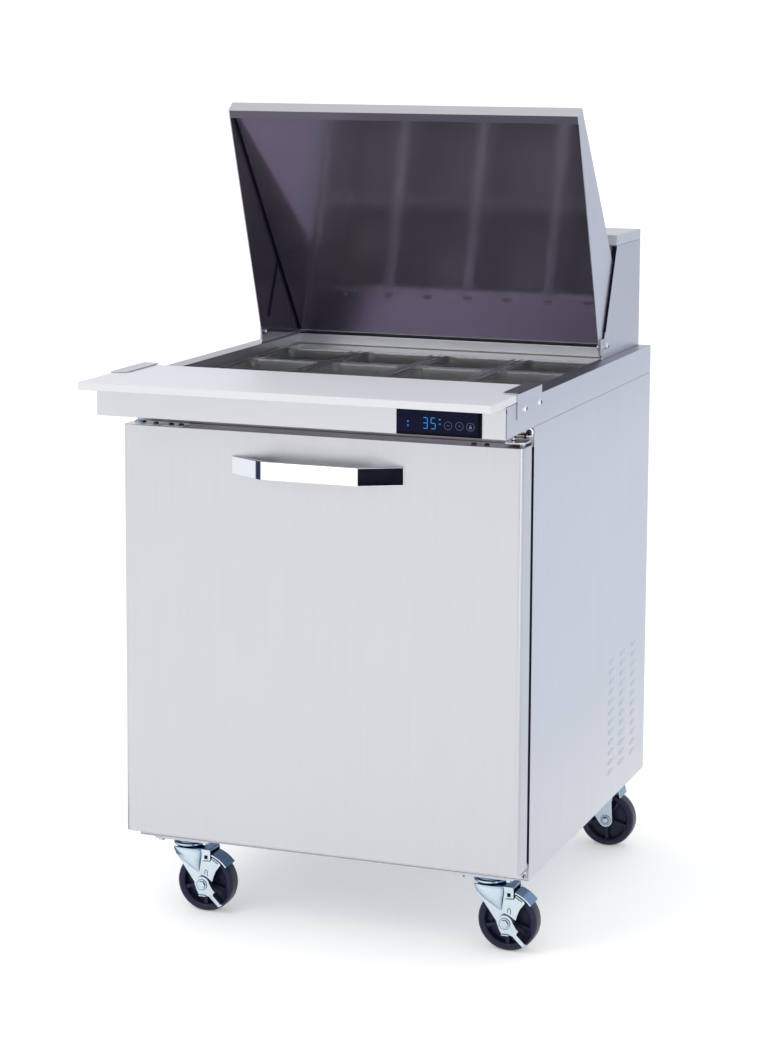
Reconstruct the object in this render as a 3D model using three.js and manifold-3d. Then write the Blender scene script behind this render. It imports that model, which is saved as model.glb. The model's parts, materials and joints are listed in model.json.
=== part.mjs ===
// Refrigerated sandwich prep table: a one-door insulated cabinet on four casters, with an
// open well of food pans, a lid that folds back into a fixed rear hood, and a cutting board.
// Millimetres, +X right, -Y front, +Z up. The origin is on the floor, under the middle.
import * as THREE from "three";
import { mergeVertices } from "three/addons/utils/BufferGeometryUtils.js";
import Module from "manifold-3d";

const wasm = await Module();
wasm.setup();

// ---------------------------------------------------------------- driving dimensions
const WIDTH = 698.5;
const HALF = WIDTH / 2;
const SHEET = 1.5; // steel sheet
const LINER = 1.2; // thinner sheet of the liners
const GAP = 0.3; // clearance between pieces that touch

const BASE_Z = 130; // underside of the cabinet
const BODY_TOP_Z = 880; // top of the cabinet, underside of the worktop
const WORKTOP_Z = 930;
const FRONT_Y = -249; // front plane of the cabinet
const REAR_Y = 471;
const APRON_Y = -401; // front of the overhanging worktop
const IN_X = HALF - SHEET - GAP; // what fits between the side panels

const ROOM = { x: 299, low: 182, high: 815, step: 452, rear: 418, lowRear: 150 };
const COMPARTMENT = { front: 203, top: 402 }; // machine compartment, low at the rear
const WELL = { x: 318, front: -222.4, rear: 396.4, lip: 911, lipInner: 307 };
const LIP_FRONT_Y = -208;
const LEDGE_Y = 305;

const PAN = { columns: 4, rows: 3, pitchX: 157.5, pitchY: 176, midY: 49 };
const PAN_RIM = { w: 156.7, d: 175.2, z: 911.3, top: 914 };
const PAN_DEPTH = 100;
const PAN_WALL = 2;

const BOARD = { y: [-471, -226], z: [930.3, 943] };
const DOOR = { x: 348.5, z: [155, 852], front: -307, rear: -255, corner: 9 };
const HINGE = { x: 337, y: -275, pin: 5.5, bore: 6.5 };
const HANDLE = { half: 150, flat: 84, out: 39, bar: 9, z: [781, 811] };
const PANEL = { x: [171, 311], z: [880.5, 926] }; // control panel on the apron

const HOOD = { x: 326, foot: 224, brow: 311, top: 1124.5, cap: 1143.6 };
const LID = { x: 322, length: 549.3, slope: 17.81, open: 71, thick: 13.9 };
const PIVOT = { y: 231, z: 951, pin: 5, bore: 5.8 };

const CASTER = { x: 272, frontY: -214, rearY: 390, trail: 34, plate: 127 };
const WHEEL = { r: 51, half: 16, bore: 5.6, axle: 5 };

// ---------------------------------------------------------------- solids
// A closed geometry as a solid, with its faces turned outwards whichever way it was drawn.
function solid(geometry) {
  const bare = geometry.clone();
  bare.deleteAttribute("normal");
  bare.deleteAttribute("uv");
  const merged = mergeVertices(bare, 1e-4);
  const vertProperties = merged.attributes.position.array;
  const triVerts = new Uint32Array(merged.index.array);
  const made = new wasm.Manifold(new wasm.Mesh({ numProp: 3, vertProperties, triVerts }));
  if (made.volume() > 0) return made;
  triVerts.reverse();
  return new wasm.Manifold(new wasm.Mesh({ numProp: 3, vertProperties, triVerts }));
}

const join = (...parts) => parts.reduce((a, b) => a.add(b));
const cut = (whole, ...tools) => tools.reduce((a, b) => a.subtract(b), whole);

// A block between two planes on each axis.
function box(x, y, z) {
  const size = [x[1] - x[0], y[1] - y[0], z[1] - z[0]];
  const block = new THREE.BoxGeometry(...size);
  return solid(block.translate((x[0] + x[1]) / 2, (y[0] + y[1]) / 2, (z[0] + z[1]) / 2));
}

// An outline extruded along an axis. It is drawn in (y, z) for x, (x, z) for y, (x, y) for z.
function prism(axis, outline, [low, high]) {
  const shape = new THREE.Shape(outline.map(([a, b]) => new THREE.Vector2(a, b)));
  const body = new THREE.ExtrudeGeometry(shape, { depth: high - low, bevelEnabled: false });
  const X = new THREE.Vector3(1, 0, 0);
  const Y = new THREE.Vector3(0, 1, 0);
  const Z = new THREE.Vector3(0, 0, 1);
  const turn = new THREE.Matrix4();
  if (axis === "x") turn.makeBasis(Y, Z, X).setPosition(low, 0, 0);
  if (axis === "y") turn.makeBasis(X, Z, Y.negate()).setPosition(0, high, 0);
  if (axis === "z") turn.makeBasis(X, Y, Z).setPosition(0, 0, low);
  return solid(body.applyMatrix4(turn));
}

// Points on an arc, in degrees.
function arc(cx, cy, r, from, to, steps) {
  return Array.from({ length: steps + 1 }, (_, i) => {
    const angle = THREE.MathUtils.degToRad(from + ((to - from) * i) / steps);
    return [cx + r * Math.cos(angle), cy + r * Math.sin(angle)];
  });
}

const rod = (axis, r, [a, b], span, sides = 16) =>
  prism(axis, arc(a, b, r, 0, 360 - 360 / sides, sides - 1), span);

// A shape turned round a vertical axis, from [radius, height] points.
function turned(profile, x, y, sides = 20) {
  const points = profile.map(([r, z]) => new THREE.Vector2(r, z));
  const lathe = new THREE.LatheGeometry(points, sides);
  return solid(lathe.rotateX(Math.PI / 2).translate(x, y, 0));
}

// A ring of rectangular section: an outer block less an inner one.
function frameRing(x, y, z, width, axis) {
  const inner = { x: [...x], y: [...y], z: [...z] };
  for (const side of ["x", "y", "z"]) {
    const inset = side === axis ? -1 : width;
    inner[side] = [inner[side][0] + inset, inner[side][1] - inset];
  }
  return cut(box(x, y, z), box(inner.x, inner.y, inner.z));
}

// A skin through rectangular rings with cut corners, from { z, w, d }; it closes on itself.
function lofted(rings, corner) {
  const ring = ({ z, w, d }) => {
    const a = w / 2;
    const b = d / 2;
    const flat = [[a - corner, -b], [a, corner - b], [a, b - corner], [a - corner, b]];
    return [...flat, ...flat.map(([x, y]) => [-x, -y])].map(([x, y]) => [x, y, z]);
  };
  const points = rings.flatMap(ring);
  const faces = [];
  for (let k = 0; k < rings.length - 1; k++) {
    for (let i = 0; i < 8; i++) {
      const [a, b] = [k * 8 + i, k * 8 + ((i + 1) % 8)];
      faces.push(a, b, b + 8, a, b + 8, a + 8);
    }
  }
  const last = (rings.length - 1) * 8;
  for (let i = 1; i < 7; i++) {
    faces.push(0, i + 1, i, last, last + i, last + i + 1);
  }
  const skin = new THREE.BufferGeometry();
  skin.setAttribute("position", new THREE.Float32BufferAttribute(points.flat(), 3));
  skin.setIndex(faces);
  return solid(skin.toNonIndexed());
}

// ---------------------------------------------------------------- finishes
const FINISHES = {
  steel: { color: 0xd2d4d8, roughness: 0.35, metalness: 0.9 },
  polished: { color: 0xc4c6cc, roughness: 0.08, metalness: 1 },
  chrome: { color: 0xe4e8ec, roughness: 0.04, metalness: 1 },
  zinc: { color: 0xc3d0da, roughness: 0.28, metalness: 0.95 },
  board: { color: 0xf0f1f3, roughness: 0.5, metalness: 0 },
  rubber: { color: 0x1a1a22, roughness: 0.7, metalness: 0 },
  wheel: { color: 0x15151f, roughness: 0.5, metalness: 0 },
  liner: { color: 0xe6e8ea, roughness: 0.4, metalness: 0 },
  foam: { color: 0xe8dcb8, roughness: 0.9, metalness: 0 },
  lens: { color: 0x0b0e1c, roughness: 0.1, metalness: 0 },
  clear: { color: 0xdfe6ea, roughness: 0.08, metalness: 0, transparent: true, opacity: 0.35 },
  enamel: { color: 0x22242a, roughness: 0.4, metalness: 0.2 },
  aluminium: { color: 0xb8bcc0, roughness: 0.4, metalness: 0.9 },
};

const table = new THREE.Group();

function piece(name, body, finish, parent = table) {
  const { vertProperties, triVerts } = body.getMesh();
  const geometry = new THREE.BufferGeometry();
  geometry.setAttribute("position", new THREE.BufferAttribute(vertProperties, 3));
  geometry.setIndex(new THREE.BufferAttribute(triVerts, 1));
  geometry.computeVertexNormals();
  const mesh = new THREE.Mesh(geometry, new THREE.MeshStandardMaterial(FINISHES[finish]));
  mesh.name = name;
  parent.add(mesh);
  return mesh;
}

// ---------------------------------------------------------------- cabinet
function slots(columns, rows, slotHeight, cutter) {
  const cuts = [];
  for (const column of columns) {
    for (let row = 0; row < rows.count; row++) {
      const z = rows.first + row * rows.pitch;
      cuts.push(cutter(column, [z - slotHeight / 2, z + slotHeight / 2]));
    }
  }
  return cuts;
}

function sidePanels() {
  const z = [BASE_Z, BODY_TOP_Z - GAP];
  const outer = [HALF - SHEET, HALF];
  const columns = [[223, 266], [296, 338], [373, 411]];
  const rows = { first: 182, pitch: 18.5, count: 12 };
  const louvers = slots(columns, rows, 3.5, (y, at) => box([HALF - 5, HALF + 5], y, at));
  const right = cut(box(outer, [FRONT_Y, REAR_Y], z), ...louvers);
  piece("left_side_panel", box([-HALF, SHEET - HALF], [FRONT_Y, REAR_Y], z), "steel");
  piece("right_side_panel", right, "steel");
}

function rearPanel() {
  const y = [REAR_Y - SHEET, REAR_Y];
  const z = [BASE_Z + 2 + GAP, BODY_TOP_Z - GAP];
  const columns = [[-200, -30], [30, 200]];
  const rows = { first: 190, pitch: 26, count: 7 };
  const vents = slots(columns, rows, 9, (x, at) => box(x, [REAR_Y - 5, REAR_Y + 5], at));
  const glandAt = [-280, 200];
  const gland = rod("y", 14, glandAt, [REAR_Y - 14, REAR_Y - 0.2]);
  const sheet = join(box([-IN_X, IN_X], y, z), gland);
  const cordHole = rod("y", 5, glandAt, [REAR_Y - 20, REAR_Y + 5]);
  piece("rear_panel", cut(sheet, ...vents, cordHole), "steel");
}

// The floor sheet, with the top plates of the casters welded under it.
function basePan() {
  const floor = box([-IN_X, IN_X], [FRONT_Y, REAR_Y - SHEET - GAP], [BASE_Z, BASE_Z + 2]);
  const plates = casterPlaces().map(({ x, y }) =>
    box([x - 50, x + 50], [y - 35, y + 35], [CASTER.plate, BASE_Z + 1]),
  );
  piece("base_pan", join(floor, ...plates), "zinc");
}

function frontFrame() {
  const y = [FRONT_Y, FRONT_Y + 9];
  const ring = box([-IN_X, IN_X], y, [BASE_Z + 2 + GAP, BODY_TOP_Z - GAP]);
  const opening = box([-ROOM.x, ROOM.x], [y[0] - 1, y[1] + 1], [ROOM.low, ROOM.high]);
  piece("front_frame", cut(ring, opening), "enamel");
}

// The cold room's outline in (y, z): deep above, and stepped over the machine compartment.
function roomOutline(grow, front) {
  return [
    [front, ROOM.low - grow],
    [ROOM.lowRear + grow, ROOM.low - grow],
    [ROOM.lowRear + grow, ROOM.step - grow],
    [ROOM.rear + grow, ROOM.step - grow],
    [ROOM.rear + grow, ROOM.high + grow],
    [front, ROOM.high + grow],
  ];
}

function roomAndFoam() {
  const front = FRONT_Y + 9 + GAP;
  const shell = prism("x", roomOutline(LINER, front), [-ROOM.x - LINER, ROOM.x + LINER]);
  const inside = prism("x", roomOutline(0, front - 20), [-ROOM.x, ROOM.x]);
  const wellMouth = box([-ROOM.x, ROOM.x], [WELL.front, WELL.rear], [800, 830]);
  piece("inner_liner", cut(shell, inside, wellMouth), "liner");

  const slack = LINER + GAP;
  const block = box([-IN_X, IN_X], [front, REAR_Y - SHEET - GAP], [BASE_Z + 2 + GAP, 928.2]);
  const room = prism("x", roomOutline(slack, front - 20), [-ROOM.x - slack, ROOM.x + slack]);
  const wellHalf = WELL.x + 2.4;
  const well = box([-wellHalf, wellHalf], [WELL.front - 2.6, WELL.rear + 2.6], [816, 940]);
  const machine = box([-400, 400], [COMPARTMENT.front, 500], [100, COMPARTMENT.top]);
  piece("foam_core", cut(block, room, well, machine), "foam");
}

// The liner of the pan well: four walls, a foot that stands on the cold room's liner, the lips
// that carry the pan rims, and the slotted rear ledge.
function wellLiner() {
  const x = [-WELL.x, WELL.x];
  const y = [WELL.front, WELL.rear];
  const foot = ROOM.high + LINER + GAP;
  const walls = frameRing(x, y, [foot, WELL.lip], LINER, "z");
  const toe = frameRing(x, y, [foot, foot + LINER], 18, "z");
  const lipHole = box([-WELL.lipInner, WELL.lipInner], [LIP_FRONT_Y, LEDGE_Y], [900, 920]);
  const lip = cut(box(x, y, [WELL.lip - LINER, WELL.lip]), lipHole);
  const hooks = [-3, -2, -1, 0, 1, 2, 3].map((k) => {
    const at = (k * PAN.pitchX) / 2;
    return box([at - 9, at + 9], [318, 323], [900, 920]);
  });
  piece("well_liner", cut(join(walls, toe, lip), ...hooks), "steel");
}

// A pressed tray: top sheet, four skirts, a floor under the overhang, and the flange round the
// well. The control panel's body passes through its apron.
function worktop() {
  const tray = box([-HALF, HALF], [APRON_Y, REAR_Y], [BODY_TOP_Z, WORKTOP_Z]);
  const inX = [SHEET - HALF, HALF - SHEET];
  const inY = [APRON_Y + SHEET, REAR_Y - SHEET];
  const hollow = box(inX, inY, [BODY_TOP_Z + SHEET, WORKTOP_Z - SHEET]);
  const under = box(inX, [FRONT_Y - GAP, inY[1]], [BODY_TOP_Z - 5, BODY_TOP_Z + 5]);
  const mouth = { x: WELL.x + 0.6, y: [WELL.front - 0.6, WELL.rear + 0.6] };
  const hole = box([-mouth.x, mouth.x], mouth.y, [900, 950]);
  const flange = frameRing(
    [-mouth.x - SHEET, mouth.x + SHEET],
    [mouth.y[0] - SHEET, mouth.y[1] + SHEET],
    [912, WORKTOP_Z - 1],
    SHEET,
    "z",
  );
  const window = box([PANEL.x[0] + 5, PANEL.x[1] - 5], [-410, -395], [884.5, 922]);
  piece("worktop", cut(join(cut(tray, hollow, under, hole), flange), window), "steel");
}

function boardBrackets() {
  const y = [-345, -217];
  for (const [name, side] of [["board_bracket_left", -1], ["board_bracket_right", 1]]) {
    const plate = [side * (HALF + GAP), side * (HALF + GAP + SHEET)].sort((a, b) => a - b);
    const flange = [side * (HALF - 28), plate[side > 0 ? 1 : 0]].sort((a, b) => a - b);
    const top = BOARD.z[1] + 0.5;
    const upright = box(plate, y, [903, top + SHEET]);
    piece(name, join(upright, box(flange, y, [top, top + SHEET])), "steel");
  }
}

function controls() {
  const face = box(PANEL.x, [APRON_Y - 2.3, APRON_Y - GAP], PANEL.z);
  const body = box([PANEL.x[0] + 5.5, PANEL.x[1] - 5.5], [APRON_Y - 1, -360], [885, 921.5]);
  const lensX = [PANEL.x[0] + 1.5, PANEL.x[1] - 1.5];
  const lens = box(lensX, [APRON_Y - 3.8, APRON_Y - 2.6], [PANEL.z[0] + 1.5, PANEL.z[1] - 1.5]);
  piece("control_panel", join(face, body), "enamel");
  piece("display_lens", lens, "lens");
}

// Bars between the pan columns, with a tongue at each end that goes under the lips.
function dividerBars() {
  const outline = [
    [-216, 903], [-207.7, 903], [-207.7, 899], [304.7, 899], [304.7, 903], [317, 903],
    [317, 909.2], [304.7, 909.2], [304.7, 910.7], [-207.7, 910.7], [-207.7, 909.2],
    [-216, 909.2],
  ];
  [-1, 0, 1].forEach((k, i) => {
    const x = k * PAN.pitchX;
    piece(`divider_bar_${i + 1}`, prism("x", outline, [x - 8, x + 8]), "steel");
  });
}

function wireShelf() {
  const y = [-225, 305];
  const rails = frameRing([-291, 291], y, [470, 476], 6, "z");
  const wires = Array.from({ length: 11 }, (_, i) => (i - 5) * 48).map((x) =>
    box([x - 2, x + 2], [y[0] + 2, y[1] - 2], [475, 479]),
  );
  const cross = box([-289, 289], [38, 43], [471, 475.5]);
  piece("wire_shelf", join(rails, cross, ...wires), "chrome");
}

// ---------------------------------------------------------------- refrigeration
function condensingUnit() {
  const floor = BASE_Z + 2 + GAP;
  const can = [[0, 134], [62, 134], [72, 148], [72, 232], [66, 258], [40, 276], [0, 282]];
  const feet = box([-245, -55], [250, 410], [floor, 136]);
  const pipe = rod("z", 5, [-95, 285], [250, 330], 10);
  piece("compressor", join(feet, turned(can, -150, 330), pipe), "enamel");

  const fins = Array.from({ length: 8 }, (_, i) => 172 + i * 27).map((z) =>
    box([284, 336], [240, 435], [z, z + 13]),
  );
  const coilBlock = box([290, 328], [232, 443], [floor, 390]);
  piece("condenser_coil", cut(coilBlock, ...fins.map((f) => f.translate([30, 0, 0]))), "aluminium");

  const centre = [337, 275];
  const post = box([206, 236], [322, 352], [floor, 250]);
  const motor = join(post, rod("x", 38, centre, [190, 250]), rod("x", 4, centre, [249, 268], 10));
  piece("condenser_fan_motor", motor, "enamel");
  piece("condenser_fan", fan("x", 85, 16, [254, 270], [337, 275], 4.6), "aluminium");

  const tray = box([-336, -262], [225, 450], [floor, 158]);
  piece("drip_pan", cut(tray, box([-334, -264], [227, 448], [floor + 2, 170])), "liner");
}

function evaporator() {
  const coil = box([-200, 200], [372, 412], [520, 690]);
  const grooves = Array.from({ length: 9 }, (_, i) => -172 + i * 38).map((x) =>
    box([x, x + 24], [360, 380], [530, 680]),
  );
  piece("evaporator_coil", cut(coil, ...grooves), "aluminium");
  const centre = [0, 605];
  const strap = box([-204, 204], [316, 320], [592, 618]);
  const ends = [-204, 200.5].map((x) => box([x, x + 3.5], [316, 416], [592, 618]));
  const motor = join(rod("y", 30, centre, [316, 344]), rod("y", 3.5, centre, [343, 362], 10));
  piece("evaporator_fan_motor", join(strap, ...ends, motor), "enamel");
  piece("evaporator_fan", fan("y", 72, 13, [350, 366], centre, 4.1), "aluminium");
}

// A hub with five pitched blades, turning about an x or y axis through centre.
function fan(axis, radius, hub, span, centre, bore) {
  const [low, high] = span;
  const blades = Array.from({ length: 5 }, (_, i) => {
    const blade = box([-1, 1], [-radius * 0.24, radius * 0.24], [hub - 3, radius]);
    return blade.rotate([0, 0, 62]).rotate([(i * 360) / 5, 0, 0]);
  });
  const wheel = join(rod("x", hub, [0, 0], [-8, 8]), ...blades);
  const trimmed = wheel.intersect(rod("x", radius, [0, 0], [-8, 8], 30));
  const bored = cut(trimmed, rod("x", bore, [0, 0], [-9, 9], 10));
  const facing = axis === "x" ? bored : bored.rotate([0, 0, 90]);
  const along = (low + high) / 2;
  const place = axis === "x" ? [along, ...centre] : [centre[0], along, centre[1]];
  return facing.translate(place);
}

// ---------------------------------------------------------------- door
// The door's plan, rounded at its two front corners and open or closed at the back.
function doorPlan(inset, rear) {
  const { x, front, corner } = DOOR;
  const r = corner - inset;
  const [cx, cy] = [x - corner, front + corner];
  return [[-x + inset, rear], ...arc(-cx, cy, r, 180, 270, 4), ...arc(cx, cy, r, 270, 360, 4),
    [x - inset, rear]];
}

function door() {
  const [low, high] = DOOR.z;
  const bore = rod("z", HINGE.bore, [HINGE.x, HINGE.y], [low - 5, high + 5]);
  const outer = prism("z", doorPlan(0, DOOR.rear), [low, high]);
  const hollow = prism("z", doorPlan(LINER, DOOR.rear + 9), [low + LINER, high - LINER]);
  piece("door_shell", cut(outer, hollow, bore), "steel");

  const block = prism("z", doorPlan(LINER + GAP, DOOR.rear), [low + 1.6, high - 1.6]);
  const dish = box([-295, 295], [DOOR.rear - 6, DOOR.rear + 5], [205, 800]);
  piece("door_liner", cut(block, dish, bore), "liner");

  const seal = frameRing([-334, 334], [DOOR.rear + GAP, FRONT_Y - GAP], [167, 840], 22, "y");
  piece("door_gasket", seal, "rubber");

  const { half, flat, out, bar } = HANDLE;
  const face = DOOR.front - GAP;
  const slope = (half - flat) / out;
  const inner = flat - bar * 0.45;
  const foot = inner + slope * (out - bar);
  const grip = [[-half, face], [-flat, face - out], [flat, face - out], [half, face],
    [foot, face], [inner, face - out + bar], [-inner, face - out + bar], [-foot, face]];
  piece("door_handle", prism("z", grip, HANDLE.z), "chrome");
}

// A plate on the front frame, an arm over or under the door, and the pin that the door turns on.
function doorHinges() {
  const { x, y, pin } = HINGE;
  const arm = [322, 346];
  const plateY = [FRONT_Y - 3, FRONT_Y - GAP];
  const top = join(
    box([262, 346], plateY, [856, 878]),
    box(arm, [y - 17, FRONT_Y - GAP], [856, 859]),
    rod("z", pin, [x, y], [835, 858]),
  );
  const bottom = join(
    box([300, 346], plateY, [134, 151]),
    box(arm, [y - 17, FRONT_Y - GAP], [148, 151]),
    rod("z", pin, [x, y], [149, 172]),
  );
  piece("top_hinge_bracket", top, "steel");
  piece("bottom_hinge_bracket", bottom, "steel");
}

// ---------------------------------------------------------------- hood and lid
function hood() {
  const outline = [[HOOD.foot, WORKTOP_Z + GAP], [HOOD.brow, HOOD.top], [REAR_Y, HOOD.top],
    [REAR_Y, WORKTOP_Z + GAP]];
  const whole = prism("x", outline, [-HOOD.x, HOOD.x]);
  const inside = box([SHEET - HOOD.x, HOOD.x - SHEET], [100, REAR_Y - SHEET], [900, 1200]);
  const lugs = [-1, 1].map((side) => {
    const across = [side * (LID.x + 0.4), side * (HOOD.x - 1)].sort((a, b) => a - b);
    const reach = [side * (LID.x - 5.5), side * (HOOD.x - 1)].sort((a, b) => a - b);
    const ear = box(across, [PIVOT.y - 11, 262], [937, 966]);
    return join(ear, rod("x", PIVOT.pin, [PIVOT.y, PIVOT.z], reach));
  });
  piece("hood_shell", join(cut(whole, inside), ...lugs), "steel");

  const capZ = [HOOD.top + GAP, HOOD.cap];
  const cap = box([-HOOD.x, HOOD.x], [HOOD.brow - 1, REAR_Y], capZ);
  const under = box([SHEET - HOOD.x, HOOD.x - SHEET], [HOOD.brow + 0.5, REAR_Y - SHEET],
    [1100, HOOD.cap - SHEET]);
  piece("hood_cap", cut(cap, under), "steel");
}

// The lid is drawn closed, in (y, z) about its pivot, and its group turns it open. A point on
// its top panel is s along the panel from the front edge, and d below the outer face.
function lidPoint(s, d) {
  const slope = THREE.MathUtils.degToRad(LID.slope);
  const [uy, uz] = [Math.cos(slope), Math.sin(slope)];
  return [-447 + uy * s + uz * d, 3 + uz * s - uy * d];
}

function lid() {
  const group = new THREE.Group();
  group.position.set(0, PIVOT.y, PIVOT.z);
  group.rotation.x = THREE.MathUtils.degToRad(-LID.open);
  table.add(group);

  const { x, length, thick } = LID;
  const toe = [-440, -19];
  const heel = [13, -13];
  const brow = lidPoint(length, 0);
  const outer = prism("x", [toe, lidPoint(0, 0), brow, heel], [-x, x]);
  const inX = [SHEET - x, x - SHEET];
  const inside = prism("x", [[-431.7, -40], lidPoint(2, SHEET), lidPoint(590, SHEET), [110, -40]], inX);
  const lipReturn = prism("x", [toe, [-426, -19], [-426, -17.8], [-439.6, -17.8]], inX);
  const rearEdge = [brow, [brow[0] - 3.2, brow[1] - 9.5], [brow[0] - 4.4, brow[1] - 9.1],
    lidPoint(length - 1.6, 0.4)];
  const rearReturn = prism("x", rearEdge, inX);
  const bores = rod("x", PIVOT.bore, [0, 0], [-400, 400]);
  const skin = cut(join(cut(outer, inside), lipReturn, rearReturn), bores);
  piece("lid_outer_skin", skin, "steel", group);

  const slab = (s, d, half) =>
    prism("x", [lidPoint(s[0], d[0]), lidPoint(s[1], d[0]), lidPoint(s[1], d[1]), lidPoint(s[0], d[1])],
      [-half, half]);
  const tray = slab([5, 536], [SHEET + 0.4, thick], x - SHEET - 0.8);
  const hollow = slab([5 + LINER, 536 - LINER], [0, thick - LINER], x - SHEET - 0.8 - LINER);
  piece("lid_inner_panel", cut(tray, hollow), "polished", group);
}

// ---------------------------------------------------------------- pans and board
function foodPans() {
  const { w, d, z, top } = PAN_RIM;
  const wall = 2 * PAN_WALL;
  const mouth = { w: w - 19, d: d - 19 };
  const floor = { w: mouth.w - 20, d: mouth.d - 20 };
  const rings = [
    { z: top - PAN_DEPTH, w: floor.w, d: floor.d },
    { z, w: mouth.w, d: mouth.d },
    { z, w, d },
    { z: top, w, d },
    { z: top, w: mouth.w - wall, d: mouth.d - wall },
    { z: top - PAN_DEPTH + PAN_WALL, w: floor.w - wall, d: floor.d - wall },
  ];
  const pan = lofted(rings, 11);
  for (let row = 0; row < PAN.rows; row++) {
    for (let column = 0; column < PAN.columns; column++) {
      const mesh = piece(`food_pan_${row + 1}_${column + 1}`, pan, "clear");
      const x = (column - (PAN.columns - 1) / 2) * PAN.pitchX;
      mesh.position.set(x, PAN.midY + (row - 1) * PAN.pitchY, 0);
    }
  }
}

// ---------------------------------------------------------------- casters
function casterPlaces() {
  const { x, frontY, rearY } = CASTER;
  return [
    { name: "front_left", x: -x, y: frontY, brake: true },
    { name: "front_right", x, y: frontY, brake: true },
    { name: "rear_left", x: -x, y: rearY, brake: false },
    { name: "rear_right", x, y: rearY, brake: false },
  ];
}

// Each caster is drawn about its swivel axis, with the wheel trailing towards +X.
function casterFork(brake) {
  const axle = [CASTER.trail, WHEEL.r];
  const race = rod("z", 27, [0, 0], [112, CASTER.plate - GAP], 20);
  const crown = prism("z", [[46, -21], [46, 21], ...arc(0, 0, 21, 90, 270, 6)], [105, 112.5]);
  const leg = [[-21, 109], [-21, 100], [-14, 86], ...arc(...axle, 13, 215, 360, 6), [40, 86],
    [46, 92], [46, 109]];
  const legs = [[-21, -18], [18, 21]].map((y) => prism("y", leg, y));
  const shaft = rod("y", WHEEL.axle, axle, [brake ? -30 : -23, 23], 12);
  const head = rod("y", 7.5, axle, brake ? [-31.5, -28] : [-25, -20.5], 6);
  const nut = rod("y", 7.5, axle, [20.5, 26], 6);
  const parts = [race, crown, ...legs, shaft, head, nut];
  if (brake) parts.push(rod("y", 2.5, [40, 98], [-26, -20], 8));
  return join(...parts);
}

function casterWheel() {
  const { r, half, bore } = WHEEL;
  const profile = [[bore, -half], [13, -half], [13, -4], [38, -4], [39, -14], [47, -half],
    [r, -11], [r, 11], [47, half], [39, 14], [38, 4], [13, 4], [13, half], [bore, half],
    [bore, -half]];
  return solid(new THREE.LatheGeometry(profile.map(([a, b]) => new THREE.Vector2(a, b)), 20));
}

function brakeShoe() {
  const axle = [CASTER.trail, WHEEL.r];
  const plate = [[30, 70], [33, 65], [53, 57], [55, 70], [63, 80], [72, 87], [62, 104], [46, 103],
    [30, 103]];
  const shoe = [...arc(...axle, 53.5, 42, 66, 4), ...arc(...axle, 56, 66, 42, 4)];
  const pinHole = rod("y", 3, [40, 98], [-40, 0], 8);
  const arm = cut(prism("y", plate, [-24.3, -21.3]), pinHole);
  return join(arm, prism("y", shoe, [-24.3, 14]));
}

function brakeLever() {
  const [x, z] = [CASTER.trail, WHEEL.r];
  const lever = [...arc(x, z, 14, 20, 265, 8), [x + 33, z - 35], [x + 40, z - 30]];
  return cut(prism("y", lever, [-27.6, -24.6]), rod("y", WHEEL.bore, [x, z], [-40, 0], 12));
}

function casters() {
  for (const { name, x, y, brake } of casterPlaces()) {
    const group = new THREE.Group();
    group.position.set(x, y, 0);
    table.add(group);
    piece(`caster_fork_${name}`, casterFork(brake), "zinc", group);
    const wheel = piece(`caster_wheel_${name}`, casterWheel(), "wheel", group);
    wheel.position.set(CASTER.trail, 0, WHEEL.r);
    if (!brake) continue;
    piece(`brake_shoe_${name}`, brakeShoe(), "zinc", group);
    piece(`brake_lever_${name}`, brakeLever(), "zinc", group);
  }
}

sidePanels();
rearPanel();
basePan();
frontFrame();
roomAndFoam();
wellLiner();
worktop();
boardBrackets();
controls();
dividerBars();
wireShelf();
condensingUnit();
evaporator();
door();
doorHinges();
hood();
lid();
foodPans();
piece("cutting_board", box([-349, 349], BOARD.y, BOARD.z), "board");
casters();

export default table;
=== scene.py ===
"""Looks of the refrigerated sandwich prep table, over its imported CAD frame.

Shapes are drawn in millimetres in the row frame (+X right, -Y front, +Z up) and stored in metres.
"""
import json
import math

import bmesh
import bpy
from mathutils import Matrix, Vector


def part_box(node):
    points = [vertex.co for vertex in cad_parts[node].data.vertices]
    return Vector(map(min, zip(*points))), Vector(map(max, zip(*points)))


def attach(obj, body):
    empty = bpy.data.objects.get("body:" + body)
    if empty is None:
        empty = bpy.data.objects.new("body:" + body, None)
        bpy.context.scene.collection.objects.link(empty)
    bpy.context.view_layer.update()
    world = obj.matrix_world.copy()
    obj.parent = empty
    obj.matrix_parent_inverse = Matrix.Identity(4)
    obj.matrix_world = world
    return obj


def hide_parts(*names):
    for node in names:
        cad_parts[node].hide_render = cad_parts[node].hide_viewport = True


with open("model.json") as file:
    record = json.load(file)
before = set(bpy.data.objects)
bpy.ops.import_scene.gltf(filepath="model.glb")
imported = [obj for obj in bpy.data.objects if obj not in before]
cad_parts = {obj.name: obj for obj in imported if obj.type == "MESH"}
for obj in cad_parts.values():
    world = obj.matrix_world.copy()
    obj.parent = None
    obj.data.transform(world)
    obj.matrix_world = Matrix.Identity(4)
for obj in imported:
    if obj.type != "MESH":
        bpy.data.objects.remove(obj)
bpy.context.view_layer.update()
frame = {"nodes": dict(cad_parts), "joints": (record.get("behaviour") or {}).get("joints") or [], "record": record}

# ---------------------------------------------------------------- driving values
MM = 0.001
CAMERA_AT = (1.5659, -4.2120, 1.5123)
CAMERA_FORWARD = (-0.34649, 0.92845, -0.13387)
CAMERA_ROLL = -0.284
LENS = 89.7
SHIFT_Y = -0.14

HORIZON_LIGHT = 1.12
ZENITH_LIGHT = 0.88
FLOOR_GLOW = 0.28  # keeps the pale floor white under the dimmer zenith

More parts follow.
